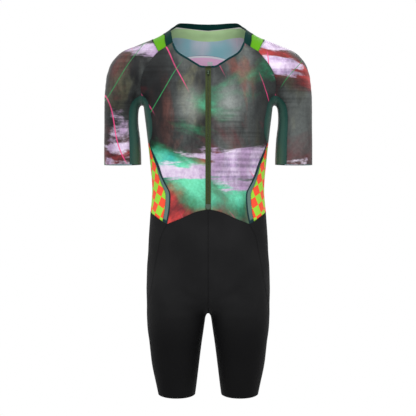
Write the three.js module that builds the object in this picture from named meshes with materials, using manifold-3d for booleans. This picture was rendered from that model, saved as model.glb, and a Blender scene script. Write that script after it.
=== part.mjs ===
// A short-sleeved triathlon suit with a full front zip, filled out as if worn.
// Millimetres. X runs to the wearer's left, the front faces -Y and Z is up. The origin is
// the centre of the neck opening at the height of the shoulders.
import * as THREE from "three";
import { mergeVertices } from "three/addons/utils/BufferGeometryUtils.js";
import Module from "manifold-3d";

// Cloth and seams
const WALL = 1.5;
const SEAM_GAP = 0.36;
const LAY_GAP = 0.4;
const TRIM_WALL = 1.0;
const INNER_LAY_GAP = 1.1; // wider, as the flat facets of a hollow's wall stand in towards it

// Heights and widths that cut the form off
const CUFF_Z = -314;
const HEM_Z = -879.5; // in front and behind
const HEM_RISE = 5; // at the sides of each leg
const NECK_POINT_Z = -82;
const ZIP_WIDTH = 13.2;
const BINDING_WIDTH = 4;

// Horizontal sections of the trunk: half width, and depth in front of and behind the middle.
const TRUNK = [
  { z: 60, half: 60, front: 50, back: 58 },
  { z: 36, half: 78, front: 58, back: 66 },
  { z: 18, half: 90, front: 66, back: 74 },
  { z: 5, half: 99.5, front: 71, back: 81 },
  { z: -20, half: 118, front: 76, back: 90 },
  { z: -50, half: 140, front: 82, back: 98 },
  { z: -90, half: 150, front: 92, back: 106 },
  { z: -130, half: 160, front: 101, back: 109 },
  { z: -170, half: 158, front: 106, back: 109 },
  { z: -230, half: 151, front: 107, back: 104 },
  { z: -300, half: 143, front: 101, back: 94 },
  { z: -380, half: 137, front: 94, back: 88 },
  { z: -440, half: 142, front: 95, back: 96 },
  { z: -520, half: 147, front: 97, back: 112 },
  { z: -600, half: 147, front: 94, back: 116 },
  { z: -680, half: 146, front: 84, back: 100 },
  { z: -760, half: 140, front: 70, back: 80 },
];
const TRUNK_ROUNDNESS = 2.25;
const CROTCH_Z = -674;

// Horizontal sections of one leg of the shorts.
const LEG = [
  { z: -480, middle: 74, half: 70, front: 80, back: 80 },
  { z: -560, middle: 75, half: 70, front: 84, back: 90 },
  { z: -620, middle: 76, half: 72.3, front: 87, back: 95 },
  { z: -680, middle: 78.3, half: 72, front: 84, back: 88 },
  { z: -715, middle: 79.5, half: 68.5, front: 80, back: 80 },
  { z: -745, middle: 79.8, half: 64.4, front: 76, back: 74 },
  { z: -805, middle: 80, half: 57, front: 66, back: 64 },
  { z: -850, middle: 78, half: 49.5, front: 58, back: 58 },
  { z: -876, middle: 77, half: 45, front: 54, back: 55 },
  { z: -905, middle: 76, half: 40, front: 50, back: 52 },
];
const LEG_ROUNDNESS = 2.1;
const LEG_TOP_Z = -520;

// Round sections of shoulder and sleeve, in order from the neck to below the cuff.
const ARM = [
  { x: 88.5, y: 4, z: -54.6, radius: 61.6 },
  { x: 155.1, y: 5, z: -83.4, radius: 63.8 },
  { x: 184.6, y: 6, z: -97, radius: 61.7 },
  { x: 205.2, y: 5, z: -140, radius: 48.4 },
  { x: 212.1, y: 4, z: -173.5, radius: 42.5 },
  { x: 212.8, y: 3, z: -214.6, radius: 41.7 },
  { x: 210.7, y: 2, z: -255.4, radius: 44.3 },
  { x: 209.5, y: 2, z: -299.8, radius: 45.5 },
  { x: 209.6, y: 2, z: -345, radius: 45.4 },
];
const ARM_DEPTH = 0.9; // the sleeve is deeper than wide by the reciprocal of this
const ARM_STEPS = 3;
const ARM_REACH_Z = -440; // below here no point is near a sleeve

// Where sleeve and chest meet: how wide the corner is rounded off, below the arm and at it.
const UNDERARM = { lowZ: -190, highZ: -150, below: 3, above: 25 };

// The arm's sections with more in between, on a smooth curve through the rows.
function refined(rows, steps) {
  const last = rows.length - 1;
  const values = rows.map(({ x, y, z, radius }) => [x, y, z, radius]);
  const past = (a, b) => a.map((value, k) => 2 * value - b[k]);
  const all = [past(values[0], values[1]), ...values, past(values[last], values[last - 1])];
  const fine = [];
  for (let i = 0; i < last; i++)
    for (let n = 0; n < steps; n++) {
      const t = n / steps;
      const [a, b, c, d] = all.slice(i, i + 4);
      const curve = (k) => {
        const bend = 3 * b[k] - a[k] - 3 * c[k] + d[k];
        return b[k] + 0.5 * t * (c[k] - a[k] + t * (2 * a[k] - 5 * b[k] + 4 * c[k] - d[k] + t * bend));
      };
      fine.push({ x: curve(0), y: curve(1), z: curve(2), radius: curve(3) });
    }
  return [...fine, rows[last]];
}

const ARM_SECTIONS = refined(ARM, ARM_STEPS);

// The value of one column of a table at height z, on a smooth curve through its rows.
function section(table, column, z) {
  const last = table.length - 1;
  const at = Math.min(table[0].z, Math.max(table[last].z, z));
  let i = 0;
  while (i < last - 1 && at < table[i + 1].z) i++;
  const slope = (k) => {
    if (k === 0 || k === last) {
      const j = k === 0 ? 1 : last;
      return (table[j][column] - table[j - 1][column]) / (table[j].z - table[j - 1].z);
    }
    const before = table[k].z - table[k - 1].z;
    const after = table[k + 1].z - table[k].z;
    const s0 = (table[k][column] - table[k - 1][column]) / before;
    const s1 = (table[k + 1][column] - table[k][column]) / after;
    return (s0 * after + s1 * before) / (before + after);
  };
  const h = table[i + 1].z - table[i].z;
  const s = (at - table[i].z) / h;
  const s2 = s * s;
  const s3 = s2 * s;
  return (
    table[i][column] * (2 * s3 - 3 * s2 + 1) +
    slope(i) * h * (s3 - 2 * s2 + s) +
    table[i + 1][column] * (3 * s2 - 2 * s3) +
    slope(i + 1) * h * (s3 - s2)
  );
}

// Distance, near enough, from a rounded oval with these half sizes.
function oval(x, y, halfX, halfY, roundness) {
  const u = Math.max(Math.abs(x) / halfX, 1e-4);
  const v = Math.max(Math.abs(y) / halfY, 1e-4);
  const k = (u ** roundness + v ** roundness) ** (1 / roundness);
  const slope = Math.hypot(u ** (roundness - 1) / halfX, v ** (roundness - 1) / halfY);
  return ((k - 1) * k ** (roundness - 1)) / slope;
}

// The smaller of two distances, with the corner between them rounded off over k.
function blend(a, b, k) {
  const h = Math.max(k - Math.abs(a - b), 0) / k;
  return Math.min(a, b) - (h * h * k) / 4;
}

function armDistance(x, y, z) {
  let nearest = Infinity;
  if (z < ARM_REACH_Z) return nearest;
  for (let i = 0; i + 1 < ARM_SECTIONS.length; i++) {
    const p = ARM_SECTIONS[i];
    const q = ARM_SECTIONS[i + 1];
    const dx = q.x - p.x;
    const dy = (q.y - p.y) * ARM_DEPTH;
    const dz = q.z - p.z;
    const ex = x - p.x;
    const ey = (y - p.y) * ARM_DEPTH;
    const ez = z - p.z;
    const along = (ex * dx + ey * dy + ez * dz) / (dx * dx + dy * dy + dz * dz);
    const u = Math.min(1, Math.max(0, along));
    const out = Math.hypot(ex - u * dx, ey - u * dy, ez - u * dz);
    nearest = Math.min(nearest, out - (p.radius + u * (q.radius - p.radius)));
  }
  return nearest;
}

// Distance of a point from the outside of the filled-out suit: below zero inside.
function form(px, y, z) {
  const x = Math.abs(px);
  const front = section(TRUNK, "front", z);
  const back = section(TRUNK, "back", z);
  const half = section(TRUNK, "half", z);
  const around = oval(x, y - (back - front) / 2, half, (back + front) / 2, TRUNK_ROUNDNESS);
  const trunk = -blend(-around, z - CROTCH_Z, 70);
  const legFront = section(LEG, "front", z);
  const legBack = section(LEG, "back", z);
  const legX = x - section(LEG, "middle", z);
  const legY = y - (legBack - legFront) / 2;
  const legHalf = section(LEG, "half", z);
  const legAround = oval(legX, legY, legHalf, (legBack + legFront) / 2, LEG_ROUNDNESS);
  const leg = -blend(-legAround, LEG_TOP_Z - z, 60);
  const w = Math.min(1, Math.max(0, (z - UNDERARM.lowZ) / (UNDERARM.highZ - UNDERARM.lowZ)));
  const underarm = UNDERARM.below + (UNDERARM.above - UNDERARM.below) * w * w * (3 - 2 * w);
  return blend(blend(trunk, armDistance(x, y, z), underarm), leg, 16);
}

function outward(p) {
  const e = 0.5;
  return new THREE.Vector3(
    form(p.x + e, p.y, p.z) - form(p.x - e, p.y, p.z),
    form(p.x, p.y + e, p.z) - form(p.x, p.y - e, p.z),
    form(p.x, p.y, p.z + e) - form(p.x, p.y, p.z - e),
  ).normalize();
}

function settle(p) {
  const q = p.clone();
  for (let n = 0; n < 4; n++) q.addScaledVector(outward(q), -form(q.x, q.y, q.z));
  return q;
}

// The first place where a straight line from a point crosses the form.
function cast(from, along, limit = null) {
  const p = from.clone();
  const depth = (t) => {
    p.copy(from).addScaledVector(along, t);
    const d = form(p.x, p.y, p.z);
    return limit ? Math.max(d, limit(p)) : d;
  };
  const inside = depth(0) < 0;
  let near = 0;
  let far = 0;
  do {
    near = far;
    far += 4;
    if (far > 400) throw new Error("no surface from " + from.toArray() + " along " + along.toArray());
  } while (depth(far) < 0 === inside);
  for (let n = 0; n < 26; n++) {
    const mid = (near + far) / 2;
    if (depth(mid) < 0 === inside) near = mid;
    else far = mid;
  }
  depth((near + far) / 2);
  return p;
}

const vec = (x, y, z) => new THREE.Vector3(x, y, z);
const onFront = (x, z) => cast(vec(x, -160, z), vec(0, 1, 0));
const onBack = (x, z) => cast(vec(x, 160, z), vec(0, -1, 0));
const frontPoints = (...places) => places.map(([x, z]) => onFront(x, z));
const backPoints = (...places) => places.map(([x, z]) => onBack(x, z));
const degrees = (a) => (a * Math.PI) / 180;
const turned = (angle, from) => from + ((((angle - from) % 360) + 360) % 360);
const bearing = (out, y) => (Math.atan2(out, -y) * 180) / Math.PI;

// Ways of naming a place on the cloth with two numbers: an angle round an axis, 0 in front,
// 90 outward and 180 behind, and a distance along the axis.
const AXIS_Y = 5;
const TRUNK_TURN_Z = -80; // above here the trunk's lines fan upward from one point
const TRUNK_FAN = 100;
const trunkMap = (firstAngle) => ({
  at(angle, s) {
    const lift = Math.max(0, s - TRUNK_TURN_Z) / TRUNK_FAN;
    const flat = Math.cos(lift);
    const along = vec(Math.sin(degrees(angle)) * flat, -Math.cos(degrees(angle)) * flat, Math.sin(lift));
    return cast(vec(0, AXIS_Y, Math.min(s, TRUNK_TURN_Z)), along);
  },
  find(p) {
    const angle = turned(bearing(p.x, p.y - AXIS_Y), firstAngle);
    if (p.z <= TRUNK_TURN_Z) return [angle, p.z];
    const lift = Math.atan2(p.z - TRUNK_TURN_Z, Math.hypot(p.x, p.y - AXIS_Y));
    return [angle, TRUNK_TURN_Z + TRUNK_FAN * lift];
  },
});

const LEG_AXIS_X = 76;
const legMap = (firstAngle) => ({
  at(angle, z) {
    const along = vec(Math.sin(degrees(angle)), -Math.cos(degrees(angle)), 0);
    return cast(vec(LEG_AXIS_X, AXIS_Y, z), along, (p) => -p.x);
  },
  find(p) {
    return [turned(bearing(p.x - LEG_AXIS_X, p.y - AXIS_Y), firstAngle), p.z];
  },
});

const ARM_AXIS = new THREE.CatmullRomCurve3([
  vec(60, 0, -48),
  vec(115, 0, -64),
  vec(165, 0, -92),
  vec(196, 0, -142),
  vec(208, 0, -205),
  vec(209, 0, -340),
]);
const armMap = (firstAngle) => ({
  frame(u) {
    const middle = ARM_AXIS.getPoint(u);
    const along = ARM_AXIS.getTangent(u).setY(0).normalize();
    return { middle: middle.setY(AXIS_Y), along, out: vec(-along.z, 0, along.x) };
  },
  at(angle, u) {
    const { middle, out } = this.frame(u);
    const a = degrees(angle);
    return cast(middle, vec(out.x * Math.sin(a), -Math.cos(a), out.z * Math.sin(a)));
  },
  find(p) {
    let low = 0;
    let high = 1;
    for (let n = 0; n < 30; n++) {
      const u = (low + high) / 2;
      const { middle, along } = this.frame(u);
      if (p.clone().sub(middle).dot(along) > 0) low = u;
      else high = u;
    }
    const { middle, out } = this.frame(low);
    const away = p.clone().sub(middle);
    return [turned(bearing(away.dot(out), away.y), firstAngle), low];
  },
});

// The arch under the arm, reached from the open space between sleeve and chest: a depth from
// front to back, and an angle from straight up towards the sleeve.
const ARCH_X = 164;
const ARCH_Z = -206;
const archMap = {
  at(y, angle) {
    return cast(vec(ARCH_X, y, ARCH_Z), vec(Math.sin(degrees(angle)), 0, Math.cos(degrees(angle))));
  },
  find(p) {
    return [p.y, (Math.atan2(p.x - ARCH_X, p.z - ARCH_Z) * 180) / Math.PI];
  },
};

// A seam: a smooth line through these points, cut into equal steps and laid on the form.
function seam(points, steps) {
  const line = new THREE.CatmullRomCurve3(points, false, "centripetal");
  line.arcLengthDivisions = 400;
  return Array.from({ length: steps + 1 }, (_, i) => {
    if (i === 0) return points[0].clone();
    if (i === steps) return points[points.length - 1].clone();
    return settle(line.getPointAt(i / steps));
  });
}

const joined = (...lines) => lines.reduce((all, line) => all.concat(all.length ? line.slice(1) : line), []);
const reversed = (line) => [...line].reverse();
const mirrored = (line) => line.map((p) => vec(-p.x, p.y, p.z));
const mirroredGrid = (grid) => grid.map(mirrored);

// A panel between four seams: its inner points are spaced evenly in the map's two numbers.
function panel(map, top, bottom, left, right) {
  const rows = left.length - 1;
  const columns = top.length - 1;
  const [t, b, l, r] = [top, bottom, left, right].map((line) => line.map((p) => map.find(p)));
  return left.map((_, i) =>
    top.map((_, j) => {
      if (i === 0) return top[j];
      if (i === rows) return bottom[j];
      if (j === 0) return left[i];
      if (j === columns) return right[i];
      const v = i / rows;
      const u = j / columns;
      const mixed = [0, 1].map(
        (k) =>
          (1 - v) * t[j][k] + v * b[j][k] + (1 - u) * l[i][k] + u * r[i][k] -
          (1 - u) * ((1 - v) * t[0][k] + v * b[0][k]) - u * ((1 - v) * t[columns][k] + v * b[columns][k]),
      );
      return map.at(...mixed);
    }),
  );
}

// A row of points from one seam to another, evenly spaced in a map's two numbers.
function rowBetween(map, from, to, columns) {
  const a = map.find(from);
  const b = map.find(to);
  return Array.from({ length: columns + 1 }, (_, j) => {
    if (j === 0) return from;
    if (j === columns) return to;
    const u = j / columns;
    return map.at(a[0] + u * (b[0] - a[0]), a[1] + u * (b[1] - a[1]));
  });
}

// The hem from one seam to another, at its own height for each angle round the leg.
function hemRow(map, from, to, columns) {
  const [a, b] = [map.find(from)[0], map.find(to)[0]];
  return Array.from({ length: columns + 1 }, (_, j) => {
    if (j === 0) return from;
    if (j === columns) return to;
    const angle = a + ((b - a) * j) / columns;
    return map.at(angle, hemZ(angle));
  });
}

// Draws the edge of a grid in by half the gap of a seam, along the cloth.
function trimmed(grid, inset = SEAM_GAP / 2) {
  const rows = grid.length - 1;
  const columns = grid[0].length - 1;
  const inwards = (i, j, di, dj) => {
    const p = grid[i][j];
    const n = outward(p);
    const ahead = grid[Math.min(rows, i + Math.abs(dj))][Math.min(columns, j + Math.abs(di))];
    const behind = grid[Math.max(0, i - Math.abs(dj))][Math.max(0, j - Math.abs(di))];
    const along = ahead.clone().sub(behind).normalize();
    const side = along.clone().cross(n).normalize();
    return side.dot(grid[i + di][j + dj].clone().sub(p)) < 0 ? side.negate() : side;
  };
  return grid.map((row, i) =>
    row.map((p, j) => {
      const sides = [];
      if (i === 0) sides.push(inwards(i, j, 1, 0));
      if (i === rows) sides.push(inwards(i, j, -1, 0));
      if (j === 0) sides.push(inwards(i, j, 0, 1));
      if (j === columns) sides.push(inwards(i, j, 0, -1));
      if (!sides.length) return p;
      if (sides.length === 1) return p.clone().addScaledVector(sides[0], inset);
      const both = sides[0].clone().add(sides[1]);
      return p.clone().addScaledVector(both, inset / Math.max(0.35, 1 + sides[0].dot(sides[1])));
    }),
  );
}

// A closed thin solid on a grid of points: its faces stand off from the grid by outer and inner.
function shell(grid, outer = 0, inner = -WALL) {
  const rows = grid.length - 1;
  const columns = grid[0].length - 1;
  const across = columns + 1;
  const normals = grid.map((row) => row.map(outward));
  const place = [];
  for (const height of [outer, inner])
    grid.forEach((row, i) =>
      row.forEach((p, j) => place.push(...p.clone().addScaledVector(normals[i][j], height).toArray())),
    );
  const layer = (rows + 1) * across;
  const at = (i, j) => i * across + j;
  const mid = [rows >> 1, columns >> 1];
  const down = grid[mid[0] + 1][mid[1]].clone().sub(grid[mid[0]][mid[1]]);
  const over = grid[mid[0]][mid[1] + 1].clone().sub(grid[mid[0]][mid[1]]);
  const flip = down.cross(over).dot(normals[mid[0]][mid[1]]) < 0;
  const faces = [];
  const face = (a, b, c) => (flip ? faces.push(a, c, b) : faces.push(a, b, c));
  const wall = (a, b) => {
    face(a, a + layer, b);
    face(b, a + layer, b + layer);
  };
  for (let i = 0; i < rows; i++)
    for (let j = 0; j < columns; j++) {
      const [a, b, c, d] = [at(i, j), at(i + 1, j), at(i + 1, j + 1), at(i, j + 1)];
      const shorter = grid[i][j].distanceTo(grid[i + 1][j + 1]) < grid[i + 1][j].distanceTo(grid[i][j + 1]);
      const halves = shorter ? [[a, b, c], [a, c, d]] : [[a, b, d], [b, c, d]];
      for (const [p, q, r] of halves) {
        face(p, q, r);
        face(r + layer, q + layer, p + layer);
      }
    }
  for (let i = 0; i < rows; i++) {
    wall(at(i, 0), at(i + 1, 0));
    wall(at(i + 1, columns), at(i, columns));
  }
  for (let j = 0; j < columns; j++) {
    wall(at(0, j + 1), at(0, j));
    wall(at(rows, j), at(rows, j + 1));
  }
  const geometry = new THREE.BufferGeometry();
  geometry.setAttribute("position", new THREE.Float32BufferAttribute(place, 3));
  geometry.setIndex(faces);
  geometry.computeVertexNormals();
  return geometry;
}

// Steps along each seam and across each piece.
const STEPS = {
  raglan: 6,
  gussetSleeve: 9,
  gussetChest: 6,
  side: 10,
  neckBandEnd: 2,
  yokeEnd: 4,
  sleeveTop: 9,
  gussetAcross: 5,
  sideAcross: 4,
  backHalf: 6,
  crotchSeam: 12,
  inseam: 8,
};

const trunkFront = trunkMap(0);
const sleeveRound = armMap(-90);
const gussetRound = armMap(-270);
const onTrunk = (angle, s) => trunkFront.at(angle, s);

// A place by an angle round the neck at a height, reached on a level line.
function onNeck(angle, z) {
  return cast(vec(0, AXIS_Y, z), vec(Math.sin(degrees(angle)), -Math.cos(degrees(angle)), 0));
}

// Corners where seams meet, on the wearer's left.
const neckCorner = onFront(85, -22);
const bandCorner = onFront(100.8, -32);
const yokeFrontCorner = onFront(120.4, -43.9);
const underarmFront = onFront(161.5, -147.3);
const sideFront = onTrunk(74, -262);
const sideBandBack = onTrunk(76, -262.3);
const shortsFrontCorner = onFront(98.4, -458.7);
const shortsSideCorner = onFront(109.7, -452);
const neckPoint = onFront(ZIP_WIDTH / 2, NECK_POINT_Z);
const zipFoot = onFront(ZIP_WIDTH / 2, -424);
const zipFootMiddle = onFront(0, -423);
const yokeBackCorner = onBack(114, -23);
const underarmBack = onBack(160, -148);
const sideBack = onTrunk(112, -266);
const shortsBackCorner = onTrunk(122, -429);
const shortsBackMiddle = onTrunk(180, -424);

// Seams of the neck and shoulders.
const neckline = seam(
  [neckCorner, ...frontPoints([74, -44], [45, -64], [28.3, -75], [18, -81]), neckPoint],
  STEPS.raglan,
);
const neckBandEnd = seam([neckCorner, bandCorner], STEPS.neckBandEnd);
const yokeEnd = seam([bandCorner, yokeFrontCorner], STEPS.yokeEnd);
const neckRingSteps = STEPS.sleeveTop + STEPS.backHalf;
const neckEdge = seam(
  [
    neckCorner,
    onFront(89.8, 3.5),
    onNeck(76, 15),
    onNeck(93, 24),
    onNeck(109, 36),
    onNeck(126, 39),
    onNeck(155, 39),
    onNeck(180, 38.5),
  ],
  neckRingSteps,
);
const neckBandSeam = seam(
  [
    bandCorner,
    ...frontPoints([104.4, -16], [104.8, -2]),
    onNeck(89, 8),
    onNeck(97, 18.5),
    onNeck(106, 26.5),
    onNeck(122, 28),
    onNeck(140, 27.6),
    onNeck(160, 25.8),
    onNeck(180, 24),
  ],
  neckRingSteps,
);
const shoulderTop = cast(vec(136.5, 8, -60), vec(0, 0, 1));
const yokeOverShoulder = seam(
  [
    yokeFrontCorner,
    ...frontPoints([128.3, -27.6], [133.7, -16.4]),
    shoulderTop,
    onBack(130, -15),
    yokeBackCorner,
  ],
  STEPS.sleeveTop,
);
const yokeBack = seam(
  [yokeBackCorner, ...backPoints([101, -7], [86, 3.5], [67.5, 5]), onNeck(161, -0.4), onNeck(180, -1.9)],
  STEPS.backHalf,
);

// Seams of the sleeve and gusset.
const raglanFront = seam(
  [
    yokeFrontCorner,
    ...frontPoints([139.8, -66.8], [152.9, -86.8], [160.8, -108.1], [163.5, -127.6]),
    underarmFront,
  ],
  STEPS.raglan,
);
const raglanBack = seam(
  [yokeBackCorner, ...backPoints([137, -64], [151, -92], [159, -122]), underarmBack],
  STEPS.raglan,
);
const gussetSleeveFront = seam(
  [
    underarmFront,
    ...frontPoints([176.6, -154.8], [186.4, -167.1], [191.5, -185.1]),
    ...frontPoints([192.7, -215.3], [190.3, -275.8], [189.6, CUFF_Z]),
  ],
  STEPS.gussetSleeve,
);
const gussetSleeveBack = seam(
  [
    underarmBack,
    ...backPoints([176, -156], [186, -168], [191.5, -186]),
    ...backPoints([192.7, -216], [190.3, -276], [189.6, CUFF_Z]),
  ],
  STEPS.gussetSleeve,
);
const gussetChestFront = seam(
  [
    underarmFront,
    ...frontPoints([144.1, -167.3], [137.7, -195.9], [134.8, -216.1], [135.8, -245.7]),
    sideFront,
  ],
  STEPS.gussetChest,
);
const gussetChestBack = seam(
  [
    underarmBack,
    ...backPoints([145, -168], [139, -196]),
    onTrunk(117, -220),
    onTrunk(114, -245),
    sideBack,
  ],
  STEPS.gussetChest,
);

// Seams down the side of the trunk.
const sideBandFront = seam(
  [
    sideFront,
    ...frontPoints([118.8, -316.5], [112.2, -337.1], [102, -361], [93.4, -377.4], [91.2, -382.4]),
    ...frontPoints([90.2, -401.3], [92.9, -431]),
    shortsFrontCorner,
  ],
  STEPS.side,
);
const sideBandInner = seam(
  [
    sideBandBack,
    ...frontPoints([134.2, -294.3], [125.6, -317.7], [118.9, -343.6], [112.2, -362.9], [104.3, -379.8]),
    ...frontPoints([102.2, -388], [102.6, -404], [105.4, -430]),
    shortsSideCorner,
  ],
  STEPS.side,
);
const sidePanelBack = seam(
  [sideBack, onTrunk(121, -320), onTrunk(126, -375), shortsBackCorner],
  STEPS.side,
);
const frontFoot = seam(
  [zipFoot, ...frontPoints([30.2, -429.7], [66, -445.3]), shortsFrontCorner],
  STEPS.neckBandEnd + STEPS.yokeEnd,
);
const sideFoot = seam(
  [shortsSideCorner, onFront(127.2, -440.1), onTrunk(84, -430), onTrunk(103, -428), shortsBackCorner],
  STEPS.sideAcross,
);
const backFoot = seam([shortsBackCorner, onTrunk(150, -426), shortsBackMiddle], STEPS.backHalf);
const centreFront = seam(
  [neckPoint, ...[-150, -220, -290, -360].map((z) => onFront(ZIP_WIDTH / 2, z)), zipFoot],
  STEPS.gussetChest + STEPS.side,
);

// Seams of the shorts: the middle seam runs from the zip's foot under the crotch, then down the leg.
const crotchFront = cast(vec(0, 0, -620), vec(0, -0.55, -0.83).normalize());
const crotch = cast(vec(0, 8, -620), vec(0, 0, -1));
const crotchBack = cast(vec(0, 16, -620), vec(0, 0.55, -0.83).normalize());
const onLeg = (angle, z) => legMap(-180).at(angle, z);
const hemZ = (angle) => HEM_Z + HEM_RISE * Math.sin(degrees(angle)) ** 2;
const middleFront = seam(
  [zipFootMiddle, ...frontPoints([0, -500], [0, -580], [0, -635]), crotchFront, crotch],
  STEPS.crotchSeam,
);
const middleBack = seam(
  [shortsBackMiddle, ...backPoints([0, -500], [0, -580], [0, -635]), crotchBack, crotch],
  STEPS.crotchSeam,
);
const inseam = seam([crotch, ...[-715, -770, -825, hemZ(-90)].map((z) => onLeg(-90, z))], STEPS.inseam);
const outerSeam = seam(
  [
    shortsFrontCorner,
    ...frontPoints([113.1, -487.1], [121, -524], [126.5, -551], [136, -606]),
    onLeg(72, -680),
    onLeg(90, -760),
    onLeg(98, hemZ(98)),
  ],
  STEPS.crotchSeam + STEPS.inseam,
);

// The pieces of cloth on the wearer's left, as grids of points on the form.
const frontGrid = panel(
  trunkFront,
  joined(neckBandEnd, yokeEnd),
  frontFoot,
  joined(neckline, centreFront),
  joined(raglanFront, gussetChestFront, sideBandFront),
);
const cuffFront = gussetSleeveFront[STEPS.gussetSleeve];
const cuffBack = gussetSleeveBack[STEPS.gussetSleeve];
const sleeveGrid = panel(
  sleeveRound,
  yokeOverShoulder,
  rowBetween(sleeveRound, cuffFront, cuffBack, STEPS.sleeveTop),
  joined(raglanFront, gussetSleeveFront),
  joined(raglanBack, gussetSleeveBack),
);
const sideTop = rowBetween(trunkFront, sideBandBack, sideBack, STEPS.sideAcross);
const gussetFrontEdge = joined(reversed(gussetSleeveFront), gussetChestFront);
const gussetBackEdge = joined(reversed(gussetSleeveBack), gussetChestBack);
const gussetGrid = gussetFrontEdge.map((front, i) => {
  if (i === gussetFrontEdge.length - 1) return [sideFront, ...sideTop];
  const onSleeve = i <= STEPS.gussetSleeve;
  const inArch = front.z > ARCH_Z + 6;
  const map = inArch ? archMap : onSleeve ? gussetRound : trunkFront;
  return rowBetween(map, front, gussetBackEdge[i], STEPS.gussetAcross);
});
const sideGrid = panel(trunkFront, sideTop, sideFoot, sideBandInner, sidePanelBack);
const sideBandGrid = sideBandFront.map((p, i) => [p, sideBandInner[i]]);
const shortsFrontGrid = panel(
  legMap(-180),
  [zipFootMiddle, ...frontFoot],
  hemRow(legMap(-180), inseam[STEPS.inseam], outerSeam[outerSeam.length - 1], frontFoot.length),
  joined(middleFront, inseam),
  outerSeam,
);
const shortsBackTop = [shortsFrontCorner, ...joined(sideFoot, backFoot)];
const shortsBackGrid = panel(
  legMap(-45),
  shortsBackTop,
  hemRow(legMap(-45), outerSeam[outerSeam.length - 1], inseam[STEPS.inseam], shortsBackTop.length - 1),
  outerSeam,
  joined(middleBack, inseam),
);
const tapeGrid = centreFront.map((p) => [onFront(0, p.z), p]);
tapeGrid[tapeGrid.length - 1][0] = zipFootMiddle;

// The pieces that cross the middle.
const across = (line) => joined(line, reversed(mirrored(line)));
const backSide = joined(raglanBack, gussetChestBack, sidePanelBack);
const backGrid = panel(trunkFront, across(yokeBack), across(backFoot), backSide, mirrored(backSide));
const yokeGrid = panel(
  trunkFront,
  across(neckBandSeam),
  across(joined(yokeOverShoulder, yokeBack)),
  yokeEnd,
  mirrored(yokeEnd),
);
const neckBandGrid = panel(
  trunkFront,
  across(neckEdge),
  across(neckBandSeam),
  neckBandEnd,
  mirrored(neckBandEnd),
);

// The binding lies on the front along the V of the neck.
const bindingGrid = neckline.map((p, i) => {
  const ahead = neckline[Math.min(neckline.length - 1, i + 1)];
  const behind = neckline[Math.max(0, i - 1)];
  const down = ahead.clone().sub(behind).normalize().cross(outward(p)).normalize();
  if (down.z > 0) down.negate();
  if (i === neckline.length - 1) down.set(0, down.y, down.z).normalize();
  return [p, settle(p.clone().addScaledVector(down, BINDING_WIDTH))];
});

// A flat-backed trim laid on the form: rows of a height and a half width.
function trimGrid(rows, columns, place, middleX = 0) {
  return rows.map(({ z, half }) =>
    Array.from({ length: columns + 1 }, (_, j) => place(middleX + half * ((2 * j) / columns - 1), z)),
  );
}

const GARAGE = [{ z: -82.3, half: 6.2 }, { z: -87, half: 6.2 }];
const ZIP_STOP = [
  { z: -411, half: 6 },
  { z: -417, half: 6 },
  { z: -421, half: 4.4 },
  { z: -423.5, half: 1.6 },
];
const INNER_PATCH = {
  x: -14,
  rows: [
    { z: -35, half: 8 },
    { z: -36, half: 19 },
    { z: -38.4, half: 35 },
    { z: -41.6, half: 49 },
    { z: -45, half: 60 },
    { z: -49, half: 65 },
    { z: -62, half: 67 },
    { z: -84, half: 66 },
    { z: -106, half: 64 },
  ],
};
const LABEL = { x: 4.6, rows: [{ z: -50.5, half: 6.4 }, { z: -60, half: 6.4 }] };

// The slider, drawn upright with its back on the plane y = 0, and the pull that hangs from its pin.
const SLIDER = { z: -97, width: 8.6, foot: 6.2, height: 9, thickness: 2.2 };
const PIN = {
  y: -4.4,
  radius: 0.6,
  halfLength: 2.4,
  sides: 18,
  lug: 1.1,
  lugDepth: 3.2,
  lugHeight: 2.6,
  lugSunk: 0.3,
};
const PULL = {
  eyeRadius: 1.8,
  holeRadius: 1.05,
  eyeWidth: 2.2,
  thickness: 1.2,
  width: 4.8,
  length: 10.5,
  neckZ: -1.35,
};

const wasm = await Module();
wasm.setup();

function solid(geometry) {
  const plain = (geometry.index ? geometry.toNonIndexed() : geometry.clone()).clone();
  for (const name of Object.keys(plain.attributes)) if (name !== "position") plain.deleteAttribute(name);
  const merged = mergeVertices(plain, 1e-4);
  return new wasm.Manifold(
    new wasm.Mesh({
      numProp: 3,
      vertProperties: merged.attributes.position.array,
      triVerts: new Uint32Array(merged.index.array),
    }),
  );
}

function union(geometries) {
  const whole = geometries.map(solid).reduce((a, b) => a.add(b)).getMesh();
  const geometry = new THREE.BufferGeometry();
  geometry.setAttribute("position", new THREE.Float32BufferAttribute(whole.vertProperties, 3));
  geometry.setIndex(Array.from(whole.triVerts));
  geometry.computeVertexNormals();
  return geometry;
}

function plate(outline, thickness, backY) {
  const flat = { depth: thickness, bevelEnabled: false, curveSegments: 6 };
  return new THREE.ExtrudeGeometry(outline, flat).rotateX(Math.PI / 2).translate(0, backY, 0);
}

function sliderGeometry() {
  const { width, foot, height, thickness } = SLIDER;
  const outline = new THREE.Shape();
  outline.moveTo(-foot / 2, -height / 2);
  outline.lineTo(foot / 2, -height / 2);
  outline.lineTo(width / 2, height * 0.15);
  outline.quadraticCurveTo(width / 2, height / 2, width * 0.22, height / 2);
  outline.lineTo(-width * 0.22, height / 2);
  outline.quadraticCurveTo(-width / 2, height / 2, -width / 2, height * 0.15);
  outline.closePath();
  const body = plate(outline, thickness, 0);
  const lugX = PIN.halfLength - PIN.lug / 2;
  const lugY = -thickness - PIN.lugDepth / 2 + PIN.lugSunk;
  const lugs = [-1, 1].map((side) =>
    new THREE.BoxGeometry(PIN.lug, PIN.lugDepth, PIN.lugHeight).translate(side * lugX, lugY, 0),
  );
  const pin = new THREE.CylinderGeometry(PIN.radius, PIN.radius, 2 * PIN.halfLength - PIN.lug, PIN.sides);
  pin.rotateZ(Math.PI / 2).translate(0, PIN.y, 0);
  return union([body, ...lugs, pin]);
}

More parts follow.
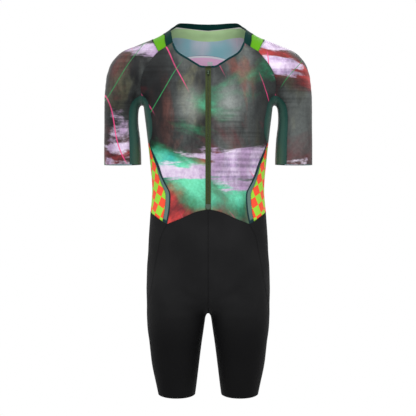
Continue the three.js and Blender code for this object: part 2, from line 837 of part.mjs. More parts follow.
function pullGeometry() {
  const ring = new THREE.Shape();
  ring.absarc(0, 0, PULL.eyeRadius, 0, 2 * Math.PI);
  const hole = new THREE.Path();
  hole.absarc(0, 0, PULL.holeRadius, 0, 2 * Math.PI, true);
  ring.holes.push(hole);
  const eyeCut = { depth: PULL.eyeWidth, bevelEnabled: false, curveSegments: 10 };
  const eye = new THREE.ExtrudeGeometry(ring, eyeCut);
  eye.translate(0, 0, -PULL.eyeWidth / 2).rotateY(Math.PI / 2);
  const tab = new THREE.Shape();
  const neck = PULL.eyeWidth / 2;
  const low = -PULL.length;
  tab.moveTo(-neck, PULL.neckZ);
  tab.lineTo(neck, PULL.neckZ);
  tab.bezierCurveTo(neck, low * 0.4, PULL.width / 2, low * 0.55, PULL.width / 2, low * 0.78);
  tab.bezierCurveTo(PULL.width / 2, low * 1.03, -PULL.width / 2, low * 1.03, -PULL.width / 2, low * 0.78);
  tab.bezierCurveTo(-PULL.width / 2, low * 0.55, -neck, low * 0.4, -neck, PULL.neckZ);
  return union([eye, plate(tab, PULL.thickness, PULL.thickness / 2)]);
}

const CLOTH = { roughness: 0.78, metalness: 0 };
const charcoal = new THREE.MeshStandardMaterial({ color: 0x3e4346, ...CLOTH });
const darkGreen = new THREE.MeshStandardMaterial({ color: 0x16473c, ...CLOTH });
const bandGreen = new THREE.MeshStandardMaterial({ color: 0x0a3b34, ...CLOTH });
const lime = new THREE.MeshStandardMaterial({ color: 0x6eb41f, ...CLOTH });
const sleeveGrey = new THREE.MeshStandardMaterial({ color: 0x46504f, ...CLOTH });
const greyGreen = new THREE.MeshStandardMaterial({ color: 0x556e69, ...CLOTH });
const chequer = new THREE.MeshStandardMaterial({ color: 0xe86a2c, ...CLOTH });
const black = new THREE.MeshStandardMaterial({ color: 0x1b1c1e, roughness: 0.85, metalness: 0 });
const tape = new THREE.MeshStandardMaterial({ color: 0x3c4123, ...CLOTH });
const binding = new THREE.MeshStandardMaterial({ color: 0x0e2f33, ...CLOTH });
const stopGrey = new THREE.MeshStandardMaterial({ color: 0x82918a, roughness: 0.5, metalness: 0 });
const pink = new THREE.MeshStandardMaterial({ color: 0xcd9bbe, ...CLOTH });
const white = new THREE.MeshStandardMaterial({ color: 0xe8e8e6, ...CLOTH });
const metal = new THREE.MeshStandardMaterial({ color: 0x30402a, roughness: 0.42, metalness: 0.5 });

const suit = new THREE.Group();

function add(name, geometry, material) {
  const mesh = new THREE.Mesh(geometry, material);
  mesh.name = name;
  suit.add(mesh);
  return mesh;
}

function addPair(name, grid, material, outer, inner, inset) {
  add(name + "_left", shell(trimmed(grid, inset), outer, inner), material);
  add(name + "_right", shell(trimmed(mirroredGrid(grid), inset), outer, inner), material);
}

addPair("front", frontGrid, charcoal);
addPair("sleeve", sleeveGrid, sleeveGrey);
addPair("gusset", gussetGrid, darkGreen);
addPair("side_panel", sideGrid, chequer);
addPair("side_band", sideBandGrid, greyGreen);
addPair("shorts_front", shortsFrontGrid, black);
addPair("shorts_back", shortsBackGrid, black);
addPair("zip_tape", tapeGrid, tape);
addPair("neck_binding", bindingGrid, binding, LAY_GAP + TRIM_WALL, LAY_GAP);
add("back", shell(trimmed(backGrid)), charcoal);
add("back_yoke", shell(trimmed(yokeGrid)), lime);
add("neck_band", shell(trimmed(neckBandGrid)), bandGreen);
add("zip_garage", shell(trimGrid(GARAGE, 2, onFront), LAY_GAP + TRIM_WALL, LAY_GAP), binding);
add("zip_bottom_stop", shell(trimGrid(ZIP_STOP, 4, onFront), LAY_GAP + TRIM_WALL, LAY_GAP), stopGrey);
const patchTop = -WALL - INNER_LAY_GAP;
const patchGrid = trimGrid(INNER_PATCH.rows, 8, onBack, INNER_PATCH.x);
add("inner_patch", shell(patchGrid, patchTop, patchTop - TRIM_WALL), pink);
const labelTop = patchTop - TRIM_WALL - LAY_GAP;
add("inner_label", shell(trimGrid(LABEL.rows, 1, onBack, LABEL.x), labelTop, labelTop - TRIM_WALL), white);

const sliderSpot = onFront(0, SLIDER.z);
const sliderOut = outward(sliderSpot);
const seat = new THREE.Matrix4()
  .makeRotationX(Math.atan2(-sliderOut.z, -sliderOut.y))
  .setPosition(sliderSpot.addScaledVector(sliderOut, LAY_GAP));
add("zip_slider", sliderGeometry().applyMatrix4(seat), metal);
const pinSpot = vec(0, PIN.y, 0).applyMatrix4(seat);
add("zip_pull", pullGeometry().translate(pinSpot.x, pinSpot.y, pinSpot.z), metal);

export default suit;
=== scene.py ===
"""The looks of a short-sleeved triathlon suit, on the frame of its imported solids.

Sizes are millimetres until a mesh is made. X runs to the wearer's left and the front faces -Y.
"""

import math

import bpy
import numpy as np
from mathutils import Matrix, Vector


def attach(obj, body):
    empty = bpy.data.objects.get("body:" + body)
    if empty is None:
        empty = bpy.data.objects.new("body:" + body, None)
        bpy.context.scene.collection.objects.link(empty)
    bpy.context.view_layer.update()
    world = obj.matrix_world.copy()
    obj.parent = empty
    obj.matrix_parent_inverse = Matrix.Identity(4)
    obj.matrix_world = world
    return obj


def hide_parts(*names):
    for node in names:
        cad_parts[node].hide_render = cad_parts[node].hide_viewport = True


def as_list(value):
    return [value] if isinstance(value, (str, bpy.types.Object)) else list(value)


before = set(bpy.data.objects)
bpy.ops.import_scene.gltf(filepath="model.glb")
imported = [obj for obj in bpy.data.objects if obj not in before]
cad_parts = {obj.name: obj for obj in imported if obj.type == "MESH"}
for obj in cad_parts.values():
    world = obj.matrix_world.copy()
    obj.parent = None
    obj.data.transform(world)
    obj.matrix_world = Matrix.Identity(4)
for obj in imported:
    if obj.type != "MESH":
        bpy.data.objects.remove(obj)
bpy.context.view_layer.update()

MM = 0.001
FINE = 5  # steps of fine cloth for each step along a seam of the solids
CLOTH = 1.1  # thickness of the cloth that shows at an edge
CUFF_Z = -314
HEM_Z = -879.5  # in front and behind
HEM_RISE = 5  # at the sides of each leg
ZIP_WIDTH = 13.2
NECK_POINT_Z = -82
BINDING_WIDTH = 4
HEAD_ON_DISTANCE = 3200
PHOTO_SIDE = 416
MM_PER_PIXEL = 2.45
PHOTO_CENTRE_Z = -420

# Horizontal sections of the trunk: height, half width, depth in front and behind.
TRUNK = [
    (60, 60, 50, 58),
    (36, 78, 58, 66),
    (18, 90, 66, 74),
    (5, 99.5, 71, 81),
    (-20, 118, 76, 90),
    (-50, 140, 82, 98),
    (-90, 150, 92, 106),
    (-130, 160, 101, 109),
    (-170, 158, 106, 109),
    (-230, 151, 107, 104),
    (-300, 143, 101, 94),
    (-380, 137, 94, 88),
    (-440, 142, 95, 96),
    (-520, 147, 97, 112),
    (-600, 147, 94, 116),
    (-680, 146, 84, 100),
    (-760, 140, 70, 80),
]
# Horizontal sections of one leg: height, middle, half width, depth in front and behind.
LEG = [
    (-480, 74, 70, 80, 80),
    (-560, 75, 70, 84, 90),
    (-620, 76, 72.3, 87, 95),
    (-680, 78.3, 72, 84, 88),
    (-715, 79.5, 68.5, 80, 80),
    (-745, 79.8, 64.4, 76, 74),
    (-805, 80, 57, 66, 64),
    (-850, 78, 49.5, 58, 58),
    (-876, 77, 45, 54, 55),
    (-905, 76, 40, 50, 52),
]
# Round sections of shoulder and sleeve: x, y, z, radius.
ARM = [
    (88.5, 4, -54.6, 61.6),
    (155.1, 5, -83.4, 63.8),
    (184.6, 6, -97, 61.7),
    (205.2, 5, -140, 48.4),
    (212.1, 4, -173.5, 42.5),
    (212.8, 3, -214.6, 41.7),
    (210.7, 2, -255.4, 44.3),
    (209.5, 2, -299.8, 45.5),
    (209.6, 2, -345, 45.4),
]
TRUNK_ROUNDNESS = 2.25
LEG_ROUNDNESS = 2.1
CROTCH_Z = -674
LEG_TOP_Z = -520
ARM_DEPTH = 0.9
ARM_STEPS = 3
ARM_REACH_Z = -440  # below here no point is near a sleeve
UNDERARM_LOW_Z, UNDERARM_HIGH_Z = -190, -150
UNDERARM_BELOW, UNDERARM_ABOVE = 3, 25  # how wide the corner of sleeve and chest is rounded off
CROTCH_ROUNDING, LEG_TOP_ROUNDING, LEG_JOIN_ROUNDING = 70, 60, 16
SLOPE_STEP = 0.5  # how far to each side of a point the form's slope is taken
CAST_STEP, CAST_REACH, CAST_HALVINGS = 5, 420, 22


def unit(v):
    return v / np.linalg.norm(v, axis=-1, keepdims=True)


def along_of(line):
    return unit(np.gradient(line, axis=0))


def run_of(line):
    """How far along a line each of its points is."""
    return np.concatenate([[0], np.cumsum(np.linalg.norm(np.diff(line, axis=0), axis=1))])


def read(line, known, at):
    """Points between those of a line, whose places are known."""
    return np.stack([np.interp(at, known, line[:, k]) for k in range(3)], axis=-1)


def section(table, column, z):
    """One column of a table at heights z, on a smooth curve through its rows."""
    rows = np.array(table, float)[::-1]
    heights, values = rows[:, 0], rows[:, column]
    slopes = np.gradient(values, heights)
    at = np.clip(z, heights[0], heights[-1])
    i = np.clip(np.searchsorted(heights, at) - 1, 0, len(heights) - 2)
    h = heights[i + 1] - heights[i]
    s = (at - heights[i]) / h
    start = values[i] * (2 * s**3 - 3 * s**2 + 1) + slopes[i] * h * (s**3 - 2 * s**2 + s)
    return start + values[i + 1] * (3 * s**2 - 2 * s**3) + slopes[i + 1] * h * (s**3 - s**2)


def oval(x, y, half_x, half_y, roundness):
    """Distance, near enough, from a rounded oval."""
    u = np.maximum(np.abs(x) / half_x, 1e-4)
    v = np.maximum(np.abs(y) / half_y, 1e-4)
    k = (u**roundness + v**roundness) ** (1 / roundness)
    slope = np.hypot(u ** (roundness - 1) / half_x, v ** (roundness - 1) / half_y)
    return (k - 1) * k ** (roundness - 1) / slope


def blend(a, b, k):
    """The smaller of two distances, with the corner between them rounded off over k."""
    h = np.maximum(k - np.abs(a - b), 0) / k
    return np.minimum(a, b) - h * h * k / 4


def refined(rows, steps):
    """The rows of a table with more in between, on a smooth curve."""
    p = np.array(rows, float)
    p = np.vstack([2 * p[0] - p[1], p, 2 * p[-1] - p[-2]])
    t = (np.arange(steps) / steps)[:, None]
    fine = [
        b + 0.5 * t * (c - a + t * (2 * a - 5 * b + 4 * c - d + t * (3 * b - a - 3 * c + d)))
        for a, b, c, d in zip(p, p[1:], p[2:], p[3:])
    ]
    return np.vstack([*fine, p[-2:-1]])


ARM_SECTIONS = refined(ARM, ARM_STEPS)


def arm_distance(x, y, z):
    x, y, z = np.broadcast_arrays(x, y, z)
    whole = np.full(x.shape, 1000.0)
    near = z > ARM_REACH_Z
    x, y, z = x[near], y[near], z[near]
    nearest = whole[near]
    for (x0, y0, z0, r0), (x1, y1, z1, r1) in zip(ARM_SECTIONS, ARM_SECTIONS[1:]):
        dx, dy, dz = x1 - x0, (y1 - y0) * ARM_DEPTH, z1 - z0
        ex, ey, ez = x - x0, (y - y0) * ARM_DEPTH, z - z0
        u = np.clip((ex * dx + ey * dy + ez * dz) / (dx * dx + dy * dy + dz * dz), 0, 1)
        out = np.sqrt((ex - u * dx) ** 2 + (ey - u * dy) ** 2 + (ez - u * dz) ** 2)
        nearest = np.minimum(nearest, out - (r0 + u * (r1 - r0)))
    whole[near] = nearest
    return whole


def form(p):
    """Distance of points from the outside of the filled-out suit: below zero inside."""
    x, y, z = np.abs(p[..., 0]), p[..., 1], p[..., 2]
    front, back = section(TRUNK, 2, z), section(TRUNK, 3, z)
    around = oval(x, y - (back - front) / 2, section(TRUNK, 1, z), (back + front) / 2, TRUNK_ROUNDNESS)
    trunk = -blend(-around, z - CROTCH_Z, CROTCH_ROUNDING)
    front, back = section(LEG, 3, z), section(LEG, 4, z)
    middle, half = section(LEG, 1, z), section(LEG, 2, z)
    around = oval(x - middle, y - (back - front) / 2, half, (back + front) / 2, LEG_ROUNDNESS)
    leg = -blend(-around, LEG_TOP_Z - z, LEG_TOP_ROUNDING)
    w = np.clip((z - UNDERARM_LOW_Z) / (UNDERARM_HIGH_Z - UNDERARM_LOW_Z), 0, 1)
    underarm = UNDERARM_BELOW + (UNDERARM_ABOVE - UNDERARM_BELOW) * w * w * (3 - 2 * w)
    return blend(blend(trunk, arm_distance(x, y, z), underarm), leg, LEG_JOIN_ROUNDING)


def outward(p):
    """The direction out of the form at each point."""
    steps = [form(p + e) - form(p - e) for e in np.eye(3) * SLOPE_STEP]
    return unit(np.stack(steps, axis=-1))


def settle(p):
    """Points moved onto the form."""
    for _ in range(4):
        p = p - outward(p) * form(p)[..., None]
    return p


def cast(start, along, limit=None):
    """The first places where straight lines from points cross the form."""
    start, along = np.broadcast_arrays(np.asarray(start, float), np.asarray(along, float))

    def depth(t):
        p = start + along * t[..., None]
        return form(p) if limit is None else np.maximum(form(p), limit(p))

    inside = depth(np.zeros(start.shape[:-1])) < 0
    near = np.zeros(start.shape[:-1])
    far = near.copy()
    found = np.zeros(start.shape[:-1], bool)
    while not found.all():
        near = np.where(found, near, far)
        far = np.where(found, far, far + CAST_STEP)
        found |= (depth(far) < 0) != inside
        if far.max() > CAST_REACH:
            raise ValueError("a line misses the form")
    for _ in range(CAST_HALVINGS):
        middle = (near + far) / 2
        same = (depth(middle) < 0) == inside
        near, far = np.where(same, middle, near), np.where(same, far, middle)
    return start + along * ((near + far) / 2)[..., None]


def vec(x, y, z):
    return np.stack(np.broadcast_arrays(np.asarray(x, float), y, z), axis=-1)


def on_front(x, z):
    return cast(vec(x, -160, z), (0, 1, 0))


def on_back(x, z):
    return cast(vec(x, 160, z), (0, -1, 0))


def turned(angle, first):
    return first + (angle - first) % 360


def bearing(out, y):
    return np.degrees(np.arctan2(out, -y))


AXIS_Y = 5
LEG_AXIS_X = 76
TRUNK_TURN_Z = -80
TRUNK_FAN = 100
ARCH_X, ARCH_Z = 164, -206


class TrunkMap:
    """Places by an angle round the trunk, 0 in front and 90 outward, and a height."""

    def __init__(self, first):
        self.first = first

    def at(self, angle, s):
        a = np.radians(angle)
        lift = np.maximum(0, s - TRUNK_TURN_Z) / TRUNK_FAN
        along = vec(np.sin(a) * np.cos(lift), -np.cos(a) * np.cos(lift), np.sin(lift))
        return cast(vec(0, AXIS_Y, np.minimum(s, TRUNK_TURN_Z)), along)

    def find(self, p):
        x, y, z = p[..., 0], p[..., 1] - AXIS_Y, p[..., 2]
        lift = np.arctan2(z - TRUNK_TURN_Z, np.hypot(x, y))
        s = np.where(z <= TRUNK_TURN_Z, z, TRUNK_TURN_Z + TRUNK_FAN * lift)
        return turned(bearing(x, y), self.first), s


class LegMap:
    """Places by an angle round the leg and a height, on the wearer's left only."""

    def __init__(self, first):
        self.first = first

    def at(self, angle, z):
        a = np.radians(angle)
        return cast(vec(LEG_AXIS_X, AXIS_Y, z), vec(np.sin(a), -np.cos(a), 0), lambda p: -p[..., 0])

    def find(self, p):
        return turned(bearing(p[..., 0] - LEG_AXIS_X, p[..., 1] - AXIS_Y), self.first), p[..., 2]


def smooth_line(points, at):
    """Points on a smooth line through these points, at even shares of the number of spans."""
    p = np.asarray(points, float)
    p = np.vstack([2 * p[0] - p[1], p, 2 * p[-1] - p[-2]])
    gaps = np.maximum(np.linalg.norm(np.diff(p, axis=0), axis=1) ** 0.5, 1e-6)
    i = np.minimum(at.astype(int), len(points) - 2)
    u = (at - i)[..., None]
    p0, p1, p2, p3 = (p[i + k] for k in range(4))
    g0, g1, g2 = (gaps[i + k][..., None] for k in range(3))
    t1 = ((p1 - p0) / g0 - (p2 - p0) / (g0 + g1) + (p2 - p1) / g1) * g1
    t2 = ((p2 - p1) / g1 - (p3 - p1) / (g1 + g2) + (p3 - p2) / g2) * g1
    return (
        p1 + t1 * u + (3 * (p2 - p1) - 2 * t1 - t2) * u**2 + (2 * (p1 - p2) + t1 + t2) * u**3
    )


ARM_AXIS = [(60, -48), (115, -64), (165, -92), (196, -142), (208, -205), (209, -340)]
ARM_STEP_COUNT = 1200
ARM_LINE = smooth_line(
    [(x, 0, z) for x, z in ARM_AXIS], np.linspace(0, len(ARM_AXIS) - 1, ARM_STEP_COUNT + 1)
)
ARM_ALONG = along_of(ARM_LINE)


class ArmMap:
    """Places by an angle round the sleeve, 90 outward, and a share of the arm's length."""

    def __init__(self, first):
        self.first = first

    def frame(self, u):
        known = np.arange(ARM_STEP_COUNT + 1)
        line, along = (read(table, known, u * ARM_STEP_COUNT) for table in (ARM_LINE, ARM_ALONG))
        out = np.stack([-along[..., 2], along[..., 1] * 0, along[..., 0]], axis=-1)
        return line + (0, AXIS_Y, 0), along, out

    def at(self, angle, u):
        middle, _, out = self.frame(u)
        a = np.radians(angle)[..., None]
        return cast(middle, out * np.sin(a) + np.array((0, -1.0, 0)) * np.cos(a))

    def find(self, p):
        low, high = np.zeros(p.shape[:-1]), np.ones(p.shape[:-1])
        for _ in range(24):
            u = (low + high) / 2
            middle, along, _ = self.frame(u)
            beyond = ((p - middle) * along).sum(-1) > 0
            low, high = np.where(beyond, u, low), np.where(beyond, high, u)
        middle, _, out = self.frame(low)
        away = p - middle
        return turned(bearing((away * out).sum(-1), away[..., 1]), self.first), low


class ArchMap:
    """Places under the arm by a depth and an angle from straight up towards the sleeve."""

    def at(self, y, angle):
        a = np.radians(angle)
        return cast(vec(ARCH_X, y, ARCH_Z), vec(np.sin(a), 0, np.cos(a)))

    def find(self, p):
        return p[..., 1], np.degrees(np.arctan2(p[..., 0] - ARCH_X, p[..., 2] - ARCH_Z))


STEPS_A_SPAN = 400  # steps that a smooth line is measured in between two of its given points


def seam(points, steps):
    """A smooth line through these points, cut into even steps and laid on the form."""
    at = np.linspace(0, len(points) - 1, STEPS_A_SPAN * (len(points) - 1) + 1)
    run = run_of(smooth_line(points, at))
    even = np.interp(np.linspace(0, run[-1], steps * FINE + 1), run, at)
    return settle(smooth_line(points, even))


def joined(*lines):
    return np.vstack([lines[0], *[line[1:] for line in lines[1:]]])


def mirrored(points):
    return points * (-1, 1, 1)


def across(line):
    return joined(line, mirrored(line)[::-1])


def panel(where, top, bottom, left, right):
    """A panel between four seams, its inner points spaced evenly in the map's numbers."""
    v = np.linspace(0, 1, len(left))[:, None]
    u = np.linspace(0, 1, len(top))[None, :]
    mixed = []
    for t, b, l, r in zip(*(where.find(line) for line in (top, bottom, left, right))):
        edges = (1 - v) * t[None, :] + v * b[None, :] + (1 - u) * l[:, None] + u * r[:, None]
        corners = (1 - u) * ((1 - v) * t[0] + v * b[0]) + u * ((1 - v) * t[-1] + v * b[-1])
        mixed.append((edges - corners)[1:-1, 1:-1])
    grid = np.zeros((len(left), len(top), 3))
    grid[0], grid[-1], grid[:, 0], grid[:, -1] = top, bottom, left, right
    grid[1:-1, 1:-1] = where.at(*mixed)
    return grid


def row_between(where, start, end, steps):
    """A row of points from one seam to another."""
    a, b = where.find(start), where.find(end)
    u = np.linspace(0, 1, steps * FINE + 1)
    row = where.at(a[0] + u * (b[0] - a[0]), a[1] + u * (b[1] - a[1]))
    row[0], row[-1] = start, end
    return row


trunk_round, sleeve_round, gusset_round, arch = TrunkMap(0), ArmMap(-90), ArmMap(-270), ArchMap()
leg_front, leg_back = LegMap(-180), LegMap(-45)
on_trunk, on_leg = trunk_round.at, leg_front.at


def level(angle, z):
    """A place by an angle round the neck at a height, reached on a level line."""
    a = math.radians(angle)
    return cast(vec(0, AXIS_Y, z), (math.sin(a), -math.cos(a), 0))


def hem_z(angle):
    return HEM_Z + HEM_RISE * np.sin(np.radians(angle)) ** 2


def hem_row(where, start, end, steps):
    """The hem from one seam to another, at its own height for each angle round the leg."""
    angle = np.linspace(where.find(start)[0], where.find(end)[0], steps * FINE + 1)
    row = where.at(angle, hem_z(angle))
    row[0], row[-1] = start, end
    return row


def front_points(*places):
    return [on_front(x, z) for x, z in places]


def back_points(*places):
    return [on_back(x, z) for x, z in places]


# Corners where seams meet, on the wearer's left.
neck_corner, band_corner, yoke_front_corner = front_points((85, -22), (100.8, -32), (120.4, -43.9))
underarm_front, underarm_back = on_front(161.5, -147.3), on_back(160, -148)
side_front, side_band_back = on_trunk(74, -262), on_trunk(76, -262.3)
side_back = on_trunk(112, -266)
shorts_front_corner, shorts_side_corner = front_points((98.4, -458.7), (109.7, -452))
neck_point, zip_foot = front_points((ZIP_WIDTH / 2, NECK_POINT_Z), (ZIP_WIDTH / 2, -424))
zip_foot_middle = on_front(0, -423)
yoke_back_corner = on_back(114, -23)
shorts_back_corner, shorts_back_middle = on_trunk(122, -429), on_trunk(180, -424)

# Seams of the neck and shoulders.
neckline = seam([neck_corner, *front_points((74, -44), (45, -64), (28.3, -75), (18, -81)), neck_point], 6)
neck_band_end = seam([neck_corner, band_corner], 2)
yoke_end = seam([band_corner, yoke_front_corner], 4)
neck_edge = seam(
    [neck_corner, on_front(89.8, 3.5), level(76, 15), level(93, 24), level(109, 36), level(126, 39),
     level(155, 39), level(180, 38.5)],
    15,
)
neck_band_seam = seam(
    [band_corner, *front_points((104.4, -16), (104.8, -2)), level(89, 8), level(97, 18.5),
     level(106, 26.5), level(122, 28), level(140, 27.6), level(160, 25.8), level(180, 24)],
    15,
)
yoke_over_shoulder = seam(
    [yoke_front_corner, *front_points((128.3, -27.6), (133.7, -16.4)),
     cast((136.5, 8, -60), (0, 0, 1)), on_back(130, -15), yoke_back_corner],
    9,
)
yoke_back = seam(
    [yoke_back_corner, *back_points((101, -7), (86, 3.5), (67.5, 5)), level(161, -0.4),
     level(180, -1.9)],
    6,
)

# Seams of the sleeve and gusset.
raglan_front = seam(
    [yoke_front_corner, *front_points((139.8, -66.8), (152.9, -86.8), (160.8, -108.1),
                                      (163.5, -127.6)), underarm_front],
    6,
)
raglan_back = seam(
    [yoke_back_corner, *back_points((137, -64), (151, -92), (159, -122)), underarm_back], 6
)
GUSSET_SLEEVE_STEPS, GUSSET_WIDTH_STEPS = 9, 5
gusset_sleeve_front = seam(
    [underarm_front, *front_points((176.6, -154.8), (186.4, -167.1), (191.5, -185.1), (192.7, -215.3),
                                   (190.3, -275.8), (189.6, CUFF_Z))],
    GUSSET_SLEEVE_STEPS,
)
gusset_sleeve_back = seam(
    [underarm_back, *back_points((176, -156), (186, -168), (191.5, -186), (192.7, -216), (190.3, -276),
                                 (189.6, CUFF_Z))],
    GUSSET_SLEEVE_STEPS,
)
gusset_chest_front = seam(
    [underarm_front, *front_points((144.1, -167.3), (137.7, -195.9), (134.8, -216.1), (135.8, -245.7)),
     side_front],
    6,
)
gusset_chest_back = seam(
    [underarm_back, *back_points((145, -168), (139, -196)), on_trunk(117, -220), on_trunk(114, -245),
     side_back],
    6,
)

# Seams down the side of the trunk.
side_band_front = seam(
    [side_front, *front_points((118.8, -316.5), (112.2, -337.1), (102, -361), (93.4, -377.4),
                               (91.2, -382.4), (90.2, -401.3), (92.9, -431)), shorts_front_corner],
    10,
)
side_band_inner = seam(
    [side_band_back, *front_points((134.2, -294.3), (125.6, -317.7), (118.9, -343.6), (112.2, -362.9),
                                   (104.3, -379.8), (102.2, -388), (102.6, -404), (105.4, -430)),
     shorts_side_corner],
    10,
)
side_panel_back = seam([side_back, on_trunk(121, -320), on_trunk(126, -375), shorts_back_corner], 10)
front_foot = seam([zip_foot, *front_points((30.2, -429.7), (66, -445.3)), shorts_front_corner], 6)
side_foot = seam(
    [shorts_side_corner, on_front(127.2, -440.1), on_trunk(84, -430), on_trunk(103, -428),
     shorts_back_corner],
    4,
)
back_foot = seam([shorts_back_corner, on_trunk(150, -426), shorts_back_middle], 6)
centre_front = seam(
    [neck_point, *front_points(*((ZIP_WIDTH / 2, z) for z in (-150, -220, -290, -360))), zip_foot], 16
)

# Seams of the shorts: the middle one runs under the crotch and down the leg.
crotch_front = cast((0, 0, -620), np.array((0, -0.55, -0.83)) / math.hypot(0.55, 0.83))
crotch = cast((0, 8, -620), (0, 0, -1))
crotch_back = cast((0, 16, -620), np.array((0, 0.55, -0.83)) / math.hypot(0.55, 0.83))
middle_front = seam(
    [zip_foot_middle, *front_points((0, -500), (0, -580), (0, -635)), crotch_front, crotch], 12
)
middle_back = seam(
    [shorts_back_middle, *back_points((0, -500), (0, -580), (0, -635)), crotch_back, crotch], 12
)
inseam = seam([crotch, *(on_leg(-90, z) for z in (-715, -770, -825, hem_z(-90)))], 8)
outer_seam = seam(
    [shorts_front_corner, *front_points((113.1, -487.1), (121, -524), (126.5, -551), (136, -606)),
     on_leg(72, -680), on_leg(90, -760), on_leg(98, hem_z(98))],
    20,
)

# The pieces of cloth on the wearer's left, as grids of points.
gusset_front_edge = joined(gusset_sleeve_front[::-1], gusset_chest_front)
gusset_back_edge = joined(gusset_sleeve_back[::-1], gusset_chest_back)
side_top = row_between(trunk_round, side_band_back, side_back, 4)
gusset_end = joined(np.linspace(side_front, side_band_back, FINE + 1), side_top)
ARCH_FOOT_Z = ARCH_Z + 6


def gusset_row(i, front):
    """A row across the gusset: over the arch, down the sleeve or down the side of the chest."""
    on_sleeve = i <= GUSSET_SLEEVE_STEPS * FINE
    where = arch if front[2] > ARCH_FOOT_Z else gusset_round if on_sleeve else trunk_round
    return row_between(where, front, gusset_back_edge[i], GUSSET_WIDTH_STEPS)


gusset_grid = np.array(
    [*(gusset_row(i, p) for i, p in enumerate(gusset_front_edge[:-1])), gusset_end]
)
sleeve_grid = panel(
    sleeve_round,
    yoke_over_shoulder,
    row_between(sleeve_round, gusset_sleeve_front[-1], gusset_sleeve_back[-1], 9),
    joined(raglan_front, gusset_sleeve_front),
    joined(raglan_back, gusset_sleeve_back),
)
front_grid = panel(
    trunk_round,
    joined(neck_band_end, yoke_end),
    front_foot,
    joined(neckline, centre_front),
    joined(raglan_front, gusset_chest_front, side_band_front),
)
side_grid = panel(trunk_round, side_top, side_foot, side_band_inner, side_panel_back)
side_band_grid = panel(
    trunk_round,
    gusset_end[: FINE + 1],
    settle(np.linspace(shorts_front_corner, shorts_side_corner, FINE + 1)),
    side_band_front,
    side_band_inner,
)
shorts_front_top = joined(np.linspace(zip_foot_middle, zip_foot, FINE + 1), front_foot)
shorts_front_grid = panel(
    leg_front,
    shorts_front_top,
    hem_row(leg_front, inseam[-1], outer_seam[-1], 7),
    joined(middle_front, inseam),
    outer_seam,
)
shorts_back_top = joined(side_band_grid[-1], side_foot, back_foot)
shorts_back_grid = panel(
    leg_back,
    shorts_back_top,
    hem_row(leg_back, outer_seam[-1], inseam[-1], 11),
    outer_seam,
    joined(middle_back, inseam),
)
tape_middle = on_front(0, centre_front[:, 2])
tape_grid = settle(np.linspace(tape_middle, centre_front, FINE + 1, axis=1))

# The pieces that cross the middle.
back_side = joined(raglan_back, gusset_chest_back, side_panel_back)
back_grid = panel(trunk_round, across(yoke_back), across(back_foot), back_side, mirrored(back_side))
yoke_grid = panel(
    trunk_round,
    across(neck_band_seam),
    across(joined(yoke_over_shoulder, yoke_back)),
    yoke_end,
    mirrored(yoke_end),
)
neck_band_grid = panel(
    trunk_round, across(neck_edge), across(neck_band_seam), neck_band_end, mirrored(neck_band_end)
)

# Soft creases: the ends of each on the front, its half width, how deep it is, and which face.
CREASES = [
    # x0, z0, x1, z1, half width, depth, face
    (14, -650, 78, -612, 8, 1.3, -1),
    (10, -662, 104, -668, 9, 1.1, -1),
    (22, -634, 60, -560, 10, 0.9, -1),
    (34, -700, 100, -690, 11, 0.8, -1),
    (0, -440, 0, -640, 4, 0.7, -1),
    (92, -545, 98, -655, 14, 1.0, -1),
    (118, -590, 132, -690, 9, 0.6, -1),
    (44, -470, 52, -600, 16, -0.8, -1),
    (60, -770, 108, -744, 12, 0.5, -1),
    (150, -128, 108, -150, 8, 1.2, -1),
    (148, -150, 118, -186, 9, 1.0, -1),
    (166, -140, 196, -118, 8, 1.0, -1),
    (120, -60, 88, -92, 12, 0.7, -1),
    (100, -330, 60, -352, 11, 0.6, -1),
    (88, -392, 40, -402, 9, 0.6, -1),
    (128, -300, 96, -306, 8, 0.5, -1),
    (12, -652, 84, -622, 9, 1.4, 1),
    (10, -668, 100, -684, 10, 1.1, 1),
    (0, -470, 0, -650, 5, 1.2, 1),
    (30, -640, 66, -574, 11, 0.9, 1),
    (150, -130, 104, -158, 9, 1.2, 1),
    (146, -156, 110, -200, 10, 0.9, 1),
    (168, -142, 198, -116, 9, 1.0, 1),
    (120, -360, 44, -378, 12, 1.0, 1),
    (110, -396, 24, -402, 10, 0.8, 1),
    (116, -330, 60, -338, 12, 0.6, 1),
    (70, -700, 112, -716, 10, 0.8, 1),
    (60, -60, 12, -100, 18, 0.6, 1),
]
CREASE_FADE = 1.15  # past 1, a crease keeps some depth at its second end
CREASE_FACING = 1.3  # past 1, a crease is whole before the cloth faces straight to the front or back
RIDGE_SHARE, RIDGE_AWAY = 0.35, 2.1  # the low ridges on both sides, in depths and half widths


def creased(p):
    """How far the creases lift or sink the cloth at each point."""
    n = outward(p)
    x, z = np.abs(p[..., 0]), p[..., 2]
    lift = np.zeros(x.shape)
    for x0, z0, x1, z1, half, depth, face in CREASES:
        dx, dz = x1 - x0, z1 - z0
        t = ((x - x0) * dx + (z - z0) * dz) / (dx * dx + dz * dz)
        u = np.clip(t, 0, 1)
        away = np.hypot(x - x0 - u * dx, z - z0 - u * dz)
        ends = np.clip(4 * u * (CREASE_FADE - u), 0, 1)
        facing = np.clip(n[..., 1] * face * CREASE_FACING, 0, 1) ** 2
        ridge = np.exp(-(((away - RIDGE_AWAY * half) / half) ** 2))
        wave = np.exp(-((away / half) ** 2)) - RIDGE_SHARE * ridge
        lift -= depth * ends * facing * wave
    return lift


